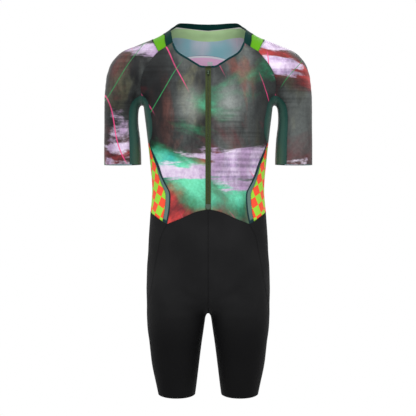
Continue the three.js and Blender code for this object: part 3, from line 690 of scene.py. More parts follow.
def measures(grid):
    """Lengths over the cloth for every point of a grid, and its flat size and area in metres."""
    rows, columns = grid.shape[:2]
    steps_over = np.linalg.norm(np.diff(grid, axis=1), axis=-1)
    steps_down = np.linalg.norm(np.diff(grid, axis=0), axis=-1)
    over = np.concatenate([np.zeros((rows, 1)), np.cumsum(steps_over, axis=1)], axis=1)
    over -= over[:, -1:] / 2
    spine = steps_down[:, columns // 2]
    down = np.broadcast_to(np.concatenate([[0], np.cumsum(spine)])[:, None], (rows, columns))
    diagonals = grid[1:, 1:] - grid[:-1, :-1], grid[1:, :-1] - grid[:-1, 1:]
    area = np.linalg.norm(np.cross(*diagonals), axis=-1).sum() / 2
    width, length = steps_over.sum(1).max(), steps_down.sum(0).max()
    return np.stack([over, down], axis=-1), (width * MM, length * MM), area * MM * MM


def new_piece(name, points, faces):
    mesh = bpy.data.meshes.new(name)
    mesh.from_pydata((np.asarray(points) * MM).tolist(), [], [list(map(int, f)) for f in faces])
    mesh.shade_smooth()
    piece = bpy.data.objects.new(name, mesh)
    bpy.context.scene.collection.objects.link(piece)
    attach(piece, "suit")
    return piece


def dressed(piece, materials, slot, *nodes):
    for material in materials:
        piece.data.materials.append(material)
    if nodes:
        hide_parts(*nodes)
    return piece


sheets = []


def cloth(name, grid, materials, slot, lift=0.0, thickness=CLOTH, sheet=True):
    """A thin closed shell on a grid of points that stands for the solid of the same name.

    The last of its materials is on the inside. A trim too small for a sheet has sheet=False.
    """
    rows, columns = grid.shape[:2]
    layer = rows * columns
    n = outward(grid)
    outer = grid + n * (lift + creased(grid))[..., None]
    points = np.concatenate([outer.reshape(-1, 3), (outer - n * thickness).reshape(-1, 3)])
    at = np.arange(layer).reshape(rows, columns)
    quads = np.stack([at[:-1, :-1], at[1:, :-1], at[1:, 1:], at[:-1, 1:]], axis=-1).reshape(-1, 4)
    ring = np.concatenate([at[:, 0], at[-1, 1:], at[-2::-1, -1], at[0, -2:0:-1]])
    after = np.roll(ring, -1)
    walls = np.stack([after, ring, ring + layer, after + layer], axis=-1)
    i, j = rows // 2, columns // 2
    down, over = grid[i, j] - grid[i - 1, j], grid[i, j] - grid[i, j - 1]
    if np.dot(np.cross(down, over), n[i, j]) < 0:
        quads, walls = quads[:, ::-1], walls[:, ::-1]
    faces = np.concatenate([quads, quads[:, ::-1] + layer, walls])
    piece = dressed(new_piece(name + "_cloth", points, faces), materials, slot, name)
    mesh = piece.data

    side = np.zeros(len(faces), np.int32)
    side[len(quads) : 2 * len(quads)] = len(materials) - 1
    mesh.polygons.foreach_set("material_index", side)
    ends = np.zeros(2 * len(mesh.edges), np.int32)
    mesh.edges.foreach_get("vertices", ends)
    a, b = ends.reshape(-1, 2).T
    rim = np.zeros(2 * layer, bool)
    rim[np.concatenate([ring, ring + layer])] = True
    sharp = rim[a] & rim[b] & ((a < layer) == (b < layer))
    mesh.attributes.new("sharp_edge", "BOOLEAN", "EDGE").data.foreach_set("value", sharp)

    run, flat, area = measures(grid)
    share = np.stack(np.meshgrid(np.linspace(0, 1, columns), np.linspace(0, 1, rows)), axis=-1)
    corner = np.zeros(len(mesh.loops), np.int32)
    mesh.loops.foreach_get("vertex_index", corner)
    for title, values in (("Cloth", run * MM), ("Share", share)):
        spread = np.tile(values.reshape(-1, 2), (2, 1))[corner]
        mesh.uv_layers.new(name=title).data.foreach_set("uv", spread.astype(np.float32).ravel())
    if sheet:
        sheets.append((piece, flat, area))
    return piece


def cloth_pair(name, grid, *looks, **shape):
    left = cloth(name + "_left", grid, *looks, **shape)
    return left, cloth(name + "_right", mirrored(grid), *looks, **shape)


def resampled(line, pitch):
    run = run_of(line)
    count = max(2, int(run[-1] / pitch))
    return read(line, run, np.linspace(0, run[-1], count + 1))


def sweep(centres, first, second, section_points):
    """Rings of a section along a line, joined and capped, with the section's two axes at each point."""
    s = np.asarray(section_points, float)[None]
    rings = centres[:, None] + first[:, None] * s[..., :1] + second[:, None] * s[..., 1:]
    count, sides = rings.shape[:2]
    at = np.arange(count * sides).reshape(count, sides)
    on = np.roll(at, -1, axis=1)
    quads = np.stack([at[:-1], at[1:], on[1:], on[:-1]], axis=-1).reshape(-1, 4)
    return rings.reshape(-1, 3), [*quads.tolist(), at[0].tolist(), at[-1, ::-1].tolist()]


def merged(parts):
    points, faces, base = [], [], 0
    for p, f in parts:
        points.append(p)
        faces.extend([[k + base for k in face] for face in f])
        base += len(p)
    return np.vstack(points), faces


THREAD_RADIUS = 0.2
THREAD_LIFT = 0.12
STITCH_PITCH = 2.6
STITCH_HALF_WIDTH = 1.7
DASH_PITCH, DASH_LENGTH = 2.8, 1.9
QUARTERS = np.radians((0, 90, 180, 270))
ROUND_THREAD = np.stack([np.cos(QUARTERS), np.sin(QUARTERS)], axis=-1) * THREAD_RADIUS


def zigzag(line):
    """Flat stitching across a seam: a thread from side to side along it."""
    middle = resampled(line, STITCH_PITCH / 2)
    side = np.cross(along_of(middle), outward(middle))
    swing = np.where(np.arange(len(middle)) % 2, STITCH_HALF_WIDTH, -STITCH_HALF_WIDTH)
    track = settle(middle + side * swing[:, None])
    n = outward(track)
    track = track + n * (creased(track) + THREAD_LIFT)[:, None]
    return sweep(track, n, np.cross(along_of(track), n), ROUND_THREAD)


def dashes(line):
    """A straight row of stitches along a line, the ends of each sunk into the cloth."""
    parts = []
    ends = resampled(line, DASH_PITCH)
    shares = np.array((0, 0.15, 0.85, 1)) * DASH_LENGTH
    for p, q, up in zip(ends, ends[1:], outward(ends)):
        run = unit(q - p)
        track = p + np.outer(shares, run) + up * (THREAD_RADIUS * 0.7)
        track[[0, -1]] -= up * THREAD_RADIUS * 1.6
        ups = np.tile(up, (4, 1))
        parts.append(sweep(track, ups, np.cross(np.tile(run, (4, 1)), ups), ROUND_THREAD))
    return merged(parts)


# Colours as they look in the picture, in 0 to 255. Two in a row are a pair of near tones.
SMOKE = (38, 42, 43), (112, 118, 116)
# The second colour here is that of the painted highlight on the chest.
NEAR_BLACK, PAINTED_GLINT, KHAKI, RUST = (14, 16, 19), (176, 184, 180), (150, 146, 104), (150, 74, 58)
TURQUOISE = (36, 188, 186), (118, 232, 192)
EMERALD, PINK, GREEN = (10, 158, 100), (238, 74, 138), (44, 146, 84)
LILAC = (186, 156, 196), (236, 224, 242)
CORAL = (110, 28, 40), (234, 74, 70)
STREAK = (40, 44, 46), (214, 214, 214)
GRAIN = (70, 70, 72), (206, 206, 204)
SKY = (164, 224, 238), (242, 230, 250)
GUSSET = (14, 62, 56), (19, 70, 61)
# A painted highlight and a painted shade for the gusset.
GUSSET_HIGHLIGHT, GUSSET_SHADE = (58, 92, 82), (8, 34, 28)
LIME = (84, 150, 6), (92, 162, 12)
LIME_INSIDE = (178, 212, 154), (200, 234, 176)
YOKE_TOP_PALE = (240, 238, 232)
NECK_GREEN = (6, 42, 39), (8, 52, 47)
ORANGE, CHEQUER_LIME, CHEQUER_WORN = (255, 84, 54), (156, 224, 58), (150, 120, 60)
BAND_GREY = (88, 112, 106), (98, 122, 116)
BAND_EDGE = (12, 48, 52)
BINDING = BAND_EDGE, (12, 60, 58)
KNIT_INSIDE = (178, 182, 180), (196, 198, 196)
SHORTS = (26, 26, 27), (33, 33, 34)
# Painted shade low on the legs.
SHORTS_LOW_SHADE = (12, 12, 13)
TAPE = (66, 77, 42), (46, 54, 28)
GARAGE = (22, 34, 12), (34, 44, 20)
STOP = (66, 78, 68), (78, 90, 80)
METAL = (18, 28, 12), (28, 38, 20)
# The colour of a painted highlight on the pull's eye.
METAL_HIGHLIGHT = (78, 98, 76)
PATCH = (250, 192, 232), (252, 202, 238)
PATCH_EDGE, PATCH_LINE = (242, 242, 250), (104, 112, 150)
LABEL = (240, 240, 244), (192, 194, 198)
DARK_THREAD = (30, 38, 40), (46, 54, 56)
BLACK_THREAD = (16, 16, 17), (27, 27, 28)
FLOOR = (244, 244, 244), (250, 250, 250)

LIGHT_SUM = 1.25  # how much brighter than its own colour a surface looks in this light
WALE, COURSE, LOOP_DEPTH = 0.0007, 0.0009, 0.00008  # columns and rows of the fine knit, in metres
MESH_PITCH, MESH_DEPTH = 0.0019, 0.0002
ROUGHNESS_DRIFT = 0.06


def linear(colour, alpha=1.0):
    """A colour of 0 to 255 as a surface needs it to look like that in this light."""
    return (
        *((((c / 255 + 0.055) / 1.055) ** 2.4 if c > 10 else c / 255 / 12.92) / LIGHT_SUM for c in colour),
        alpha,
    )


class Finish:
    """A material, with short ways to add its nodes."""

    def __init__(self, name, roughness=0.7, specular=0.12, sheen=0.04, metallic=0.0):
        self.material = bpy.data.materials.new(name)
        self.material.use_nodes = True
        self.tree = self.material.node_tree
        self.shader = self.tree.nodes["Principled BSDF"]
        self.shader.inputs["Roughness"].default_value = roughness
        self.shader.inputs["Specular IOR Level"].default_value = specular
        self.shader.inputs["Sheen Weight"].default_value = sheen
        self.shader.inputs["Sheen Roughness"].default_value = 0.4
        self.shader.inputs["Metallic"].default_value = metallic

    def node(self, kind, inputs, output=0, **settings):
        made = self.tree.nodes.new(kind)
        for key, value in settings.items():
            setattr(made, key, value)
        for key, value in inputs.items():
            self.set(made.inputs[key], value)
        return made.outputs[output]

    def set(self, socket, value):
        if isinstance(value, bpy.types.NodeSocket):
            self.tree.links.new(value, socket)
        else:
            socket.default_value = value

    def colour(self, value):
        self.set(self.shader.inputs["Base Color"], value)

    def place(self):
        return self.node("ShaderNodeTexCoord", {}, "Object")

    def uv(self, title="Cloth"):
        return self.node("ShaderNodeUVMap", {}, uv_map=title)

    def axes(self, vector):
        parts = self.tree.nodes.new("ShaderNodeSeparateXYZ")
        self.tree.links.new(vector, parts.inputs[0])
        return tuple(parts.outputs)

    def moved(self, vector, scale=(1, 1, 1), offset=(0, 0, 0), turn=0.0):
        return self.node(
            "ShaderNodeMapping",
            {"Vector": vector, "Scale": scale, "Location": offset, "Rotation": (0, 0, math.radians(turn))},
        )

    def maths(self, operation, *values):
        return self.node("ShaderNodeMath", dict(enumerate(values)), operation=operation)

    def noise(self, vector, scale, detail=3.0, roughness=0.5, distortion=0.0):
        inputs = {"Vector": vector, "Scale": scale, "Detail": detail, "Roughness": roughness}
        return self.node("ShaderNodeTexNoise", {**inputs, "Distortion": distortion})

    def step(self, value, low, high, to=(0.0, 1.0)):
        """A smooth rise from low to high."""
        inputs = {"Value": value, "From Min": low, "From Max": high, "To Min": to[0], "To Max": to[1]}
        return self.node("ShaderNodeMapRange", inputs, interpolation_type="SMOOTHSTEP")

    def mix(self, factor, a, b, blend="MIX"):
        a, b = (linear(c) if isinstance(c, tuple) and len(c) == 3 else c for c in (a, b))
        return self.node("ShaderNodeMix", {0: factor, 6: a, 7: b}, 2, data_type="RGBA", blend_type=blend)

    def drift(self, tones):
        """A soft drift between two tones."""
        return self.mix(self.step(self.noise(self.place(), 9.0, 4.0), 0.3, 0.75), *tones)

    def bump(self, height, distance, strength):
        inputs = {"Height": height, "Distance": distance, "Strength": strength}
        self.set(self.shader.inputs["Normal"], self.node("ShaderNodeBump", inputs))

    def wave(self, value, pitch):
        """A wave of this pitch in metres, from 0 to 1."""
        turns = self.maths("MULTIPLY", value, 2 * math.pi / pitch)
        return self.maths("MULTIPLY_ADD", self.maths("SINE", turns), 0.5, 0.5)

    def knit(self):
        """The material with the loops of a fine knit and the small unevenness of its surface."""
        over, down, _ = self.axes(self.uv())
        loops = self.maths("MULTIPLY", self.wave(over, WALE), self.wave(down, COURSE))
        fuzz = self.noise(self.place(), 260.0, 4.0, 0.6)
        self.bump(self.maths("MULTIPLY_ADD", fuzz, 0.6, loops), LOOP_DEPTH, 0.7)
        rough = self.shader.inputs["Roughness"]
        span = (rough.default_value - ROUGHNESS_DRIFT, rough.default_value + ROUGHNESS_DRIFT)
        self.set(rough, self.step(self.noise(self.place(), 14.0), 0.3, 0.7, span))
        return self.material


def two_tone(name, tones, **finish):
    made = Finish(name, **finish)
    made.colour(made.drift(tones))
    return made.knit()


SHORTS_SHADE_Z = (-0.6, -0.76)


def dark_legs():
    """The black knit of the shorts, with painted shade deepening towards the hems."""
    made = Finish("shorts_knit", roughness=0.7, specular=0.05, sheen=0.0)
    _, _, z = made.axes(made.place())
    # Painted shade, deeper towards the hems.
    made.colour(made.mix(made.step(z, *SHORTS_SHADE_Z, (0.0, 0.85)), made.drift(SHORTS), SHORTS_LOW_SHADE))
    return made.knit()


# The clouds of noise in the print: their stretch, offset, scale, detail, roughness and distortion.
EVEN, UPRIGHT, LEVEL = (1, 1, 1), (1, 1, 0.35), (0.45, 0.45, 1.5)
CLOUDS = {
    "smoke": (UPRIGHT, (0, 0, 0), 7.5, 8.0, 0.6, 0.3),
    "earth": (UPRIGHT, (5, 1, 8), 9.0, 7.0, 0.58, 0.4),
    "shade": (UPRIGHT, (3, 0, 1), 6.0, 8.0, 0.58),
    "glow": (EVEN, (7, 2, 0), 4.6, 8.0, 0.55, 0.5),
    "wash": (EVEN, (1, 5, 4), 3.2, 8.0, 0.55, 0.5),
    "hue": (EVEN, (9, 1, 2), 6.0, 3.0),
    "torn": (LEVEL, (2, 8, 6), 3.6, 8.0, 0.58, 0.5),
    "lilac": (UPRIGHT, (0, 0, 0), 16.0, 8.0, 0.65),
    "streak": ((2, 2, 95), (4, 4, 0), 1.0, 3.0, 0.6),
    "streaked": (EVEN, (6, 3, 9), 6.0, 2.0),
    "bend": (EVEN, (0, 0, 0), 2.6, 1.0),
    "grain": (EVEN, (0, 0, 0), 150.0, 6.0, 0.65),
    "sky": (UPRIGHT, (2, 2, 2), 9.0, 3.0),
}
# Where in its cloud each colour starts and where it is full, and how strong it is there.
TRUNK_BANDS = {
    "smoke": (0.36, 0.66, 1.0),
    "khaki": (0.52, 0.68, 0.55),
    "rust": (0.46, 0.34, 0.45),
    "shade": (0.47, 0.61, 1.0),
    "coral": (0.56, 0.7, 1.0),
    "red": (0.5, 0.64, 0.95),
    "hue": (0.4, 0.6, 1.0),
    "emerald": (0.68, 0.56, 1.0),
    "green": (0.54, 0.66, 0.96),
    "lilac": (0.38, 0.62, 1.0),
    "torn": (0.575, 0.605, 1.0),
    "streak": (0.35, 0.65, 1.0),
    "streaked": (0.46, 0.6, 0.5),
    "grain": (0.34, 0.66, 1.0),
    "sky": (0.35, 0.65, 1.0),
}
SLEEVE_BANDS = {
    **TRUNK_BANDS,
    "smoke": (0.36, 0.66, 0.55),
    "khaki": (0.52, 0.68, 0.3),
    "rust": (0.46, 0.34, 0.3),
    "shade": (0.4, 0.54, 1.0),
    "torn": (0.585, 0.615, 1.0),
}
# Each part's offset of the whole print, its bands, and how far its clouds rise lower down.
TRUNK_STYLE = (0.31, 0.2, 0.13), TRUNK_BANDS, {"glow": 0.03, "wash": 0.13, "torn": 0.05}
SLEEVE_STYLE = (1.7, 0.6, 0.9), SLEEVE_BANDS, {"glow": -0.02, "wash": 0.04, "torn": 0.05}
LOWER_Z = (-0.16, -0.36)
LINES = [
    # slope, pitch, half width, run at zero, offset of the noise that hides parts of it, colour
    (0.42, 0.105, 0.0013, 0.03, (2.7, 4, 1), PINK),
    (-0.66, 0.139, 0.0011, 0.075, (6.75, 4, 1), GREEN),
]
LINE_BEND, LINE_STRENGTH, LINE_SHOWN = 0.2, 0.85, (0.47, 0.57)
GRAIN_STRENGTH, VEIL_STRENGTH = 0.26, 0.76
# Painted shade on the flanks of the chest and a painted highlight on each side of it, in metres.
FLANK_SHADE_X, FLANK_SHADE_Z, FLANK_SHADE_STRENGTH = (0.086, 0.126), (-0.31, -0.26), 0.8
GLINT_X, GLINT_Z, GLINT_FLATTENING = 0.044, -0.17, 0.7
GLINT_REACH, GLINT_STRENGTH, GLINT_FRONT_Y = 0.048, 0.5, (-0.02, -0.06)


def painted_chest_light(made, colour):
    """A colour with painted shade, near black, on the flanks and a painted highlight on each side of the
    chest.
    """
    x, y, z = made.axes(made.place())
    aside = made.maths("ABSOLUTE", x)
    flank_shade = made.maths("MULTIPLY", made.step(aside, *FLANK_SHADE_X), made.step(z, *FLANK_SHADE_Z))
    colour = made.mix(made.maths("MULTIPLY", flank_shade, FLANK_SHADE_STRENGTH), colour, NEAR_BLACK)
    over = made.maths("SUBTRACT", aside, GLINT_X)
    up = made.maths("MULTIPLY_ADD", z, GLINT_FLATTENING, -GLINT_Z * GLINT_FLATTENING)
    away = made.maths("SQRT", made.maths("ADD", *(made.maths("MULTIPLY", v, v) for v in (over, up))))
    glint = made.step(away, GLINT_REACH, 0.0, (0.0, GLINT_STRENGTH))
    return made.mix(made.maths("MULTIPLY", glint, made.step(y, *GLINT_FRONT_Y)), colour, PAINTED_GLINT)


def printed(name, offset, bands, rises, reverse=False):
    """A soft abstract print: blurred clouds of colour on charcoal, crossed by thin slanted lines."""
    made = Finish(name, roughness=0.46, specular=0.2, sheen=0.03)
    place = made.moved(made.place(), offset=offset)
    x, _, z = made.axes(made.place())
    lower = made.step(z, *LOWER_Z)

    def cloud(title):
        stretch, away, *texture = CLOUDS[title]
        value = made.noise(made.moved(place, scale=stretch, offset=away), *texture)
        return made.maths("MULTIPLY_ADD", lower, rises[title], value) if title in rises else value

    def band(title, value=None):
        start, full, strength = bands[title]
        return made.step(cloud(title) if value is None else value, start, full, (0.0, strength))

    earth, glow, wash = cloud("earth"), cloud("glow"), cloud("wash")
    colour = made.mix(band("smoke"), *SMOKE)
    colour = made.mix(band("khaki", earth), colour, KHAKI)
    colour = made.mix(band("rust", earth), colour, RUST)
    colour = made.mix(band("shade"), colour, NEAR_BLACK)
    # On the trunk: painted shade on the chest's flanks and a painted highlight on each side of the chest.
    if bands is TRUNK_BANDS:
        colour = painted_chest_light(made, colour)
    colour = made.mix(band("red", glow), colour, made.mix(band("coral", glow), *CORAL))
    green = made.mix(band("emerald", wash), made.mix(band("hue"), *TURQUOISE), EMERALD)
    colour = made.mix(band("green", wash), colour, green)
    colour = made.mix(band("torn"), colour, made.mix(band("lilac"), *LILAC))
    colour = made.mix(band("streaked"), colour, made.mix(band("streak"), *STREAK), "OVERLAY")

    bend = made.maths("MULTIPLY", cloud("bend"), LINE_BEND)
    for slope, pitch, half, start, away, paint in LINES:
        run = made.maths("MULTIPLY_ADD", z, slope, x)
        run = made.maths("ADD", made.maths("ADD", run, bend), start)
        aside = made.maths("PINGPONG", run, pitch / 2)
        line = made.step(aside, half * 1.5, half * 0.6, (0.0, LINE_STRENGTH))
        shown = made.step(made.noise(made.moved(place, offset=away), 5.0, 2.0), *LINE_SHOWN)
        colour = made.mix(made.maths("MULTIPLY", line, shown), colour, paint)

    colour = made.mix(GRAIN_STRENGTH, colour, made.mix(band("grain"), *GRAIN), "OVERLAY")
    if reverse:
        colour = made.mix(VEIL_STRENGTH, colour, made.mix(band("sky"), *SKY))
    made.colour(colour)
    return made.knit()


CHEQUER_SIDE = 0.0216
CHEQUER_TURN = -26.8
CHEQUER_OFFSET = (0.0271, 0.0146, 0.005)
SIDE_RADIUS = 0.1413  # turns an angle round the side into a run over the cloth


def chequered():
    """Squares of orange and lime that climb towards the back."""
    made = Finish("chequer_knit", roughness=0.62, specular=0.12, sheen=0.04)
    x, y, z = made.axes(made.place())
    behind = made.maths("ARCTAN2", made.maths("SUBTRACT", y, AXIS_Y * MM), made.maths("ABSOLUTE", x))
    around = made.maths("MULTIPLY", behind, SIDE_RADIUS)
    flat = made.node("ShaderNodeCombineXYZ", {"X": around, "Y": z})
    squares = made.node(
        "ShaderNodeTexChecker",
        {
            "Vector": made.moved(flat, turn=CHEQUER_TURN, offset=CHEQUER_OFFSET),
            "Scale": 1 / CHEQUER_SIDE,
            "Color1": linear(CHEQUER_LIME),
            "Color2": linear(ORANGE),
        },
    )
    tinted = made.step(made.noise(made.place(), 30.0, 4.0), 0.3, 0.8, (0.0, 0.1))
    made.colour(made.mix(tinted, squares, CHEQUER_WORN))
    return made.knit()


# Shares of the side band's length and width that its dark edge takes.
EDGE_DOWN, EDGE_REACH, EDGE_SOFTNESS, EDGE_FOOT = (0.14, 0.62), (1.05, 0.28), 0.03, (0.955, 0.975)


def edged_band():
    """A grey-green strip, dark along its front edge and at both ends, with the dark wider at the top."""
    made = Finish("side_band_knit", roughness=0.6)
    share, down, _ = made.axes(made.uv("Share"))
    reach = made.step(down, *EDGE_DOWN, EDGE_REACH)
    front = made.step(made.maths("SUBTRACT", share, reach), EDGE_SOFTNESS, -EDGE_SOFTNESS)
    foot = made.step(down, *EDGE_FOOT)
    drift = made.mix(made.noise(made.place(), 20.0), *BAND_GREY)
    made.colour(made.mix(made.maths("MAXIMUM", front, foot), drift, BAND_EDGE))
    return made.knit()


# Where the gusset's painted highlight rises and falls and its painted shade in the middle starts, from its
# middle to its edge.
HIGHLIGHT_RISE, HIGHLIGHT_FALL, SHADED_MIDDLE = (0.42, 0.66), (0.72, 0.98), (0.46, 0.22)


def open_knit():
    """A fine mesh: rows of small dimples in a dark green knit, with painted shade in the dimples and under
    the arm, and a painted highlight along both sides.
    """
    made = Finish("gusset_mesh_knit", roughness=0.44, specular=0.3, sheen=0.1)
    over, down, _ = made.axes(made.uv())
    holes = made.maths("MULTIPLY", made.wave(over, MESH_PITCH), made.wave(down, MESH_PITCH))
    share, _, _ = made.axes(made.uv("Share"))
    aside = made.maths("ABSOLUTE", made.maths("MULTIPLY_ADD", share, 2.0, -1.0))
    highlight_band = made.maths("SUBTRACT", made.step(aside, *HIGHLIGHT_RISE), made.step(aside, *HIGHLIGHT_FALL))
    colour = made.mix(made.noise(made.place(), 12.0, 3.0), *GUSSET)
    # A painted highlight along the sides, then painted shade under the arm and in the dimples.
    colour = made.mix(made.maths("MULTIPLY", highlight_band, 0.9), colour, GUSSET_HIGHLIGHT)
    colour = made.mix(made.step(aside, *SHADED_MIDDLE, (0.0, 0.9)), colour, GUSSET_SHADE)
    made.colour(made.mix(made.step(holes, 0.55, 0.95, (0.0, 0.45)), colour, GUSSET_SHADE))
    made.bump(made.maths("MULTIPLY", holes, -1.0), MESH_DEPTH, 0.8)
    return made.material


YOKE_SEAM_SHARE = (0.055, 0.04)


def yoke_reverse():
    """The pale inside of the yoke, with a pale line along its top, where it meets the neck band."""
    made = Finish("lime_knit_inside", roughness=0.75)
    _, down, _ = made.axes(made.uv("Share"))
    made.colour(made.mix(made.step(down, *YOKE_SEAM_SHARE), made.drift(LIME_INSIDE), YOKE_TOP_PALE))
    return made.knit()


# The patch inside the back: its middle, the height of its arched top and how the arch bends.
PATCH_X, PATCH_TOP_Z, PATCH_BEND = -14, -35, 2.7
PATCH_ROWS = [
    # height, half width
    (-35, 8), (-36, 19), (-38.4, 35), (-41.6, 49), (-45, 60), (-49, 65), (-62, 67), (-84, 66), (-106, 64),
]
PATCH_BORDER, PATCH_OUTLINE = (0.0062, 0.0056), (0.0016, 0.0011)  # widths, soft at the edge, in metres

# The label on the patch, and the strip over the zip's top end, in the same kind of rows.
LABEL_X = 4.6
LABEL_ROWS = [(-50.5, 6.4), (-60, 6.4)]
GARAGE_ROWS = [(-82.3, 6.2), (-87, 6.2)]


def bordered_patch():
    """A pale pink knit with a pale border round its top and a thin dark line outside it."""
    made = Finish("inner_patch_knit", roughness=0.75)
    x, _, z = made.axes(made.place())
    aside = made.maths("ADD", x, -PATCH_X * MM)
    drop = made.maths("MULTIPLY", made.maths("MULTIPLY", aside, aside), PATCH_BEND)
    below = made.maths("SUBTRACT", PATCH_TOP_Z * MM, made.maths("ADD", z, drop))
    pink = made.mix(made.noise(made.place(), 40.0, 3.0), *PATCH)
    colour = made.mix(made.step(below, *PATCH_BORDER), pink, PATCH_EDGE)
    made.colour(made.mix(made.step(below, *PATCH_OUTLINE), colour, PATCH_LINE))
    return made.knit()


def plain(name, tones, scale=60.0, relief=0.00003, highlight_above=None, **finish):
    """A small hard or woven piece of two near tones, which may have a painted highlight above a height."""
    made = Finish(name, **finish)
    colour = made.mix(made.noise(made.place(), scale, 4.0, 0.6), *tones)
    # Above the given height the colour turns into a painted highlight.
    if highlight_above is not None:
        _, _, z = made.axes(made.place())
        tinted = made.step(z, (highlight_above - 1) * MM, (highlight_above + 1) * MM)
        colour = made.mix(tinted, colour, METAL_HIGHLIGHT)
    made.colour(colour)
    made.bump(made.noise(made.place(), 1800.0, 3.0), relief, 0.6)
    return made.material


# The pull's eye, above this height, gets a painted highlight.
PULL_EYE_FOOT_Z = -101.5
METAL_FINISH = {"scale": 300.0, "roughness": 0.42, "metallic": 0.5, "specular": 0.3}

trunk_print = printed("trunk_print", *TRUNK_STYLE)
trunk_inside = printed("trunk_print_inside", *TRUNK_STYLE, reverse=True)
sleeve_print = printed("sleeve_print", *SLEEVE_STYLE)
sleeve_inside = printed("sleeve_print_inside", *SLEEVE_STYLE, reverse=True)
gusset_knit = open_knit()
chequer_knit = chequered()
band_knit = edged_band()
shorts_knit = dark_legs()
lime_knit = two_tone("lime_knit", LIME, roughness=0.62)
lime_inside = yoke_reverse()
neck_band_knit = two_tone("neck_band_knit", NECK_GREEN, roughness=0.65, specular=0.04)
binding_knit = two_tone("binding_knit", BINDING, roughness=0.65, specular=0.06)
light_reverse = two_tone("knit_inside", KNIT_INSIDE, roughness=0.8)
tape_weave = plain("zip_tape_weave", TAPE, roughness=0.7)
teeth_nylon = plain("zip_teeth_nylon", TAPE[::-1], 900.0, roughness=0.45, specular=0.3)
stop_plastic = plain("zip_stop_plastic", STOP, roughness=0.5)
patch_knit = bordered_patch()
label_weave = plain("label_weave", LABEL, 700.0, roughness=0.8)
dark_thread = plain("dark_thread", DARK_THREAD, 900.0, 0.0001, roughness=0.6)
black_thread = plain("black_thread", BLACK_THREAD, 900.0, 0.0001, roughness=0.7, specular=0.05)
slider_metal = plain("slider_metal", METAL, **METAL_FINISH)
pull_metal = plain("pull_metal", METAL, highlight_above=PULL_EYE_FOOT_Z, **METAL_FINISH)
garage_weave = plain("garage_weave", GARAGE, roughness=0.7)

# The cloth.
cloth_pair("front", front_grid, [trunk_print, trunk_inside], "printed_cloth")
cloth_pair("sleeve", sleeve_grid, [sleeve_print, sleeve_inside], "sleeve_print")
cloth_pair("gusset", gusset_grid, [gusset_knit], "gusset_mesh")
cloth_pair("side_panel", side_grid, [chequer_knit, light_reverse], "chequer_cloth")
cloth_pair("side_band", side_band_grid, [band_knit, light_reverse], "band_cloth")
cloth_pair("shorts_front", shorts_front_grid, [shorts_knit], "shorts_cloth")
cloth_pair("shorts_back", shorts_back_grid, [shorts_knit], "shorts_cloth")
cloth("back", back_grid, [trunk_print, trunk_inside], "printed_cloth")
cloth("back_yoke", yoke_grid, [lime_knit, lime_inside], "yoke_cloth")
cloth("neck_band", neck_band_grid, [neck_band_knit], "neck_band_cloth", thickness=1.5)


def trim_grid(rows, columns, place, middle_x=0.0):
    """A grid laid on the form, from rows of a height and a half width."""
    heights, halves = np.array(rows, float).T
    at = np.linspace(0, len(rows) - 1, 8 * (len(rows) - 1) + 1)
    z = np.interp(at, range(len(rows)), heights)[:, None]
    half = np.interp(at, range(len(rows)), halves)[:, None]
    return place(middle_x + half * np.linspace(-1, 1, columns + 1)[None, :], z + 0 * half)


patch_grid = trim_grid(PATCH_ROWS, 48, on_back, PATCH_X)
label_grid = trim_grid(LABEL_ROWS, 10, on_back, LABEL_X)
garage_grid = trim_grid(GARAGE_ROWS, 10, on_front)
cloth("inner_patch", patch_grid, [patch_knit], "inner_print", -CLOTH - 0.3, 0.8)
label = cloth("inner_label", label_grid, [label_weave], "label", -CLOTH - 1.2, 0.5, sheet=False)
tapes = cloth_pair("zip_tape", tape_grid, [tape_weave], "zip_tape", sheet=False)
garage = cloth("zip_garage", garage_grid, [garage_weave], "binding", 1.3, 1.1, sheet=False)


def binding(name, line):
    """A strip folded over the edge of the neck: up the outside, over, and down the inside."""
    n, along = outward(line), along_of(line)
    down = np.cross(along, n)
    down *= np.where(down[:, 2:] > 0, -1, 1)
    down[-1] *= (0, 1, 1)
    w = BINDING_WIDTH
    fold = [
        (w, 0.15), (w - 0.3, 0.75), (w * 0.5, 0.9), (0.2, 0.85), (-0.6, 0.4), (-0.9, -0.55),
        (-0.6, -1.5), (0.2, -1.95), (w * 0.5, -1.95), (w - 0.3, -1.8), (w, -1.25),
    ]
    points, faces = sweep(line, unit(down), n, fold)
    return dressed(new_piece(name + "_strip", points, faces), [binding_knit], "binding", name)


bindings = [
    binding("neck_binding_left", neckline),
    binding("neck_binding_right", mirrored(neckline)[::-1]),
]

# The zip's teeth: two rows that mesh, down the middle of the tapes.
TOOTH_PITCH = 1.5
TOOTH_REACH = 1.9
TOOTH_SECTION = [(0.42, 0), (0.3, 0.55), (-0.3, 0.55), (-0.42, 0)]
TEETH_TOP_Z, TEETH_FOOT_Z = -100, -412


def teeth():
    spine = on_front(0, np.linspace(TEETH_TOP_Z, TEETH_FOOT_Z, 300))
    spots = resampled(spine, TOOTH_PITCH / 2)
    for k, (p, up, run) in enumerate(zip(spots, outward(spots), along_of(spots))):
        reach = np.outer((-0.35, 0.5, TOOTH_REACH), (1.0 if k % 2 else -1.0, 0, 0))
        rise = np.outer((0.0, 0.1, 0.0), up)
        yield sweep(p + reach + rise, np.tile(run, (3, 1)), np.tile(up, (3, 1)), TOOTH_SECTION)


def sewn(name, parts, material, slot):
    return dressed(new_piece(name, *merged(parts)), [material], slot)


def both(lines):
    return [*lines, *map(mirrored, lines)]


